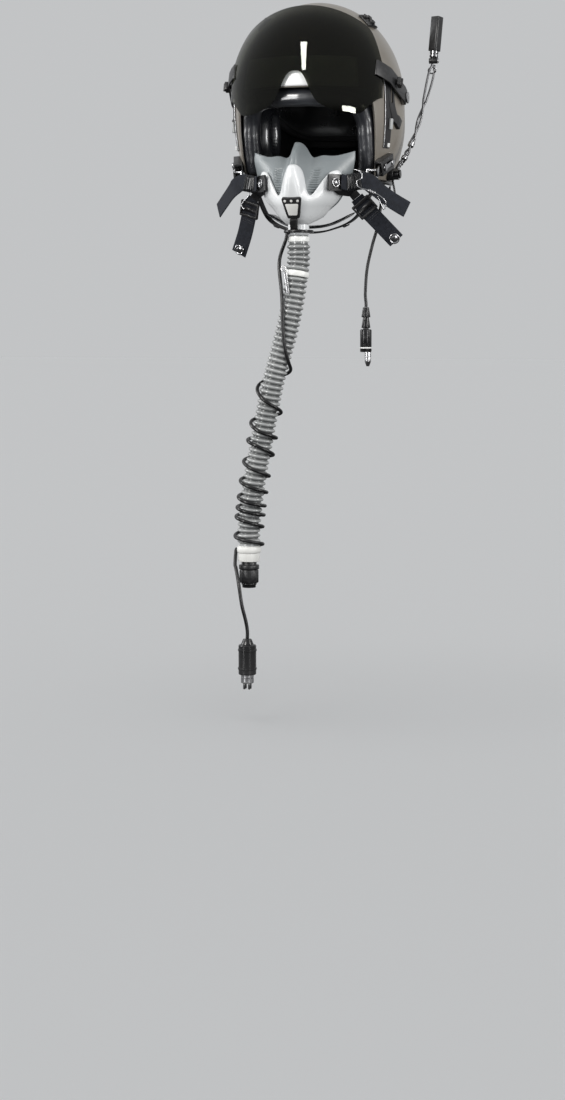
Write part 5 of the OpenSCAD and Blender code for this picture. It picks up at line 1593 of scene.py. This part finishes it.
boomKnuckle()
boomParts = [tubePiece("boomWire" + str(n), boomWire(k), boomSet["wire"] / 2, darkSteel, 12, boomSet["side"])
             for n, k in ((1, 0), (2, 180))]
boomParts += [boomSleeve(*span) for span in boomSet["sleeves"]] + [boomHoop()]
for piece in boomParts:
    dress(piece, body="boom", slot="steel")

# these two turn with the block
elbowAt = np.array(boomSet["route"][-1], float) + np.array(boomSet["elbow"])
screwOut, screwRadius, screwTurn = boomSet["elbowScrew"]
swivel = turnedPiece("boomSwivel", elbowAt, boomSet["blockWay"], boomSet["swivel"], darkSteel, 36, True, 30)
elbowScrew = slottedScrew("boomScrew", elbowAt + np.array([screwOut, 0, 0]), (1, 0, 0), screwRadius, screwTurn)
for piece in (swivel, elbowScrew):
    dress(piece, body=bodyOf["boom_mic"], slot="steel")
print("boom made")


# the cords' paths in metres, and their lengths
def metres(line):
    return [[float(c) / 1000 for c in p] for p in line]


def lineLength(line):
    return float(runMarks(line)[-1]) / 1000


hosePath = [hoseAt(hoseLength * i / 80) for i in range(81)]
lineLength(hosePath)
metres(hosePath)
tuple(metres(micCordLine[:1])[0])
lineLength(micCordLine)
metres(micCordLine)
lineLength(headCordLine)
metres(headCordLine)
lineLength(leadLine)
metres(leadLine)
cordLines = {"hose": hosePath, "mic cord": micCordLine, "headset cord": headCordLine, "lead": leadLine}
print("cords declared", {label: lineLength(line) for label, line in cordLines.items()})

# floor and lights: the floor has only the sky and a soft high sun, and the lens only its two light cards and
# the sky; a lamp is its place, its aim, its width, its height, its power and its colour
studioSet = {"floorZ": -0.835, "floorSize": 60, "floorTone": (0.822, 0.825, 0.826),
             "world": (0.97, 0.985, 1.0), "worldPower": 0.56, "sunPower": 0.38, "sunSpread": 50,
             "sunTurn": (8, -6),
             "lamps": {"keyLight": ((-1.5, -2.9, 1.3), (0, 0, -0.15), 1.0, 1.0, 84, (1.0, 0.98, 0.95)),
                       "leftLight": ((-2.4, -0.2, 0.5), (0, 0, -0.05), 0.5, 1.8, 30, (1.0, 1.0, 1.0)),
                       "rightLight": ((2.4, -0.5, 0.5), (0, 0, -0.05), 0.5, 1.8, 42, (1.0, 0.99, 0.97)),
                       "lowLeft": ((-1.5, -2.3, -0.45), (0, 0, -0.1), 0.35, 1.1, 17, (1.0, 1.0, 1.0)),
                       "lowRight": ((1.9, -1.9, -0.4), (0, 0, -0.1), 0.35, 1.1, 15, (1.0, 1.0, 1.0)),
                       "rollLeft": ((-0.9, -2.2, -0.1), (-0.07, -0.1, -0.03), 0.4, 1.2, 26, (1.0, 1.0, 1.0)),
                       "rollRight": ((1.5, -1.9, -0.1), (0.07, -0.1, -0.03), 0.4, 1.2, 26, (1.0, 1.0, 1.0))},
             "skyFade": (-0.32, -0.04), "skyLow": 0.1, "cardGlow": 60.0,
             "cards": {"tallCard": ([(5.5, 27), (14.5, 27), (16, 10.5), (11, 10.5)], 2.2),
                       "smallCard": ([(63, -9.3), (79, -11.5), (78.5, -14.9), (63, -12.5)], 2.0)}}


def stageSheet(name, corners, material):
    mesh = bpy.data.meshes.new(name)
    mesh.from_pydata(corners, [], [(0, 1, 2, 3)])
    mesh.materials.append(material)
    piece = linkObject(name, mesh)
    piece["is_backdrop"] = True
    return piece


def studioFloor():
    half, tone = studioSet["floorSize"] / 2, studioSet["floorTone"]
    paint = finish("floorPaint", tone, tone, 0.9, grain=20.0, bump=0.0, spread=0.02, specular_ior_level=0.1)
    corners = [(-half, -half, 0), (half, -half, 0), (half, half, 0), (-half, half, 0)]
    piece = stageSheet("floor", corners, paint)
    piece.location.z = studioSet["floorZ"]
    # reflections and bounced light see the sky in its place
    piece.visible_glossy = False
    piece.visible_diffuse = False
    return piece


def lightGroup(name, members, state):
    group = bpy.data.collections.new(name)
    for piece in members:
        group.objects.link(piece)
    for row in group.collection_objects:
        row.light_linking.link_state = state
    return group


def mirroredFrom(x, angle, reach):
    # where a light must stand to be seen at this place on the lens
    p = lensPoint(0, x, angle)
    across = lensPoint(0, x + 0.5, angle) - lensPoint(0, x - 0.5, angle)
    up = lensPoint(0, x, angle + 0.5) - lensPoint(0, x, angle - 0.5)
    n = unit(np.cross(across, up))
    view = unit(p / 1000 - np.array(cameraSet["place"]))
    return p / 1000 + reach * (view - 2 * np.dot(view, n) * n)


floor = studioFloor()
spared = lightGroup("spared", (floor, lensPiece), "EXCLUDE")
lensOut = lightGroup("lensOut", (lensPiece,), "EXCLUDE")
lensAlone = lightGroup("lensAlone", (lensPiece,), "INCLUDE")
leatherAlone = lightGroup("leatherAlone", (rollPiece, *cushions), "INCLUDE")
for label, (place, target, wide, high, power, colour) in studioSet["lamps"].items():
    lampData = bpy.data.lights.new(label, "AREA")
    lampData.shape = "RECTANGLE"
    lampData.size = wide
    lampData.size_y = high
    lampData.energy = power
    lampData.color = colour
    lamp = linkObject(label, lampData)
    lamp.location = place
    lamp.rotation_euler = (Vector(target) - Vector(place)).to_track_quat("-Z", "Y").to_euler()
    lamp.light_linking.receiver_collection = leatherAlone if label.startswith("roll") else spared
sunData = bpy.data.lights.new("softSun", "SUN")
sunData.energy = studioSet["sunPower"]
sunData.angle = math.radians(studioSet["sunSpread"])
sun = linkObject("softSun", sunData)
sun.rotation_euler = (*(math.radians(a) for a in studioSet["sunTurn"]), 0)
sun.light_linking.receiver_collection = lensOut

cardGlow, _, cardSockets = newShader("cardGlow")
cardSockets["Base Color"].default_value = (0, 0, 0, 1)
cardSockets["Emission Color"].default_value = (1, 1, 1, 1)
cardSockets["Emission Strength"].default_value = studioSet["cardGlow"]
for name, (corners, reach) in studioSet["cards"].items():
    card = stageSheet(name, [tuple(mirroredFrom(x, a, reach)) for x, a in corners], cardGlow)
    card.light_linking.receiver_collection = lensAlone

# the sky is even down to the floor's edge and dark below it, so that glossy pieces reflect something dark
world = bpy.data.worlds.new("studio")
worldScene.world = world
world.use_nodes = True
sky = world.node_tree
background = sky.nodes["Background"].inputs
background["Color"].default_value = (*studioSet["world"], 1)
skyCoords = sky.nodes.new("ShaderNodeTexCoord").outputs
skySplit = addNode(sky, "ShaderNodeSeparateXYZ", vector=skyCoords["Generated"])
skyPower = rampNode(sky, skySplit.outputs[2], *studioSet["skyFade"],
                    studioSet["worldPower"] * studioSet["skyLow"], studioSet["worldPower"])
sky.links.new(skyPower, background["Strength"])
worldScene.view_settings.view_transform = "Standard"
print("studio lit")

low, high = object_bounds()
{"cad": [list(cadLow), list(cadHigh)], "visual": [list(low), list(high)]}
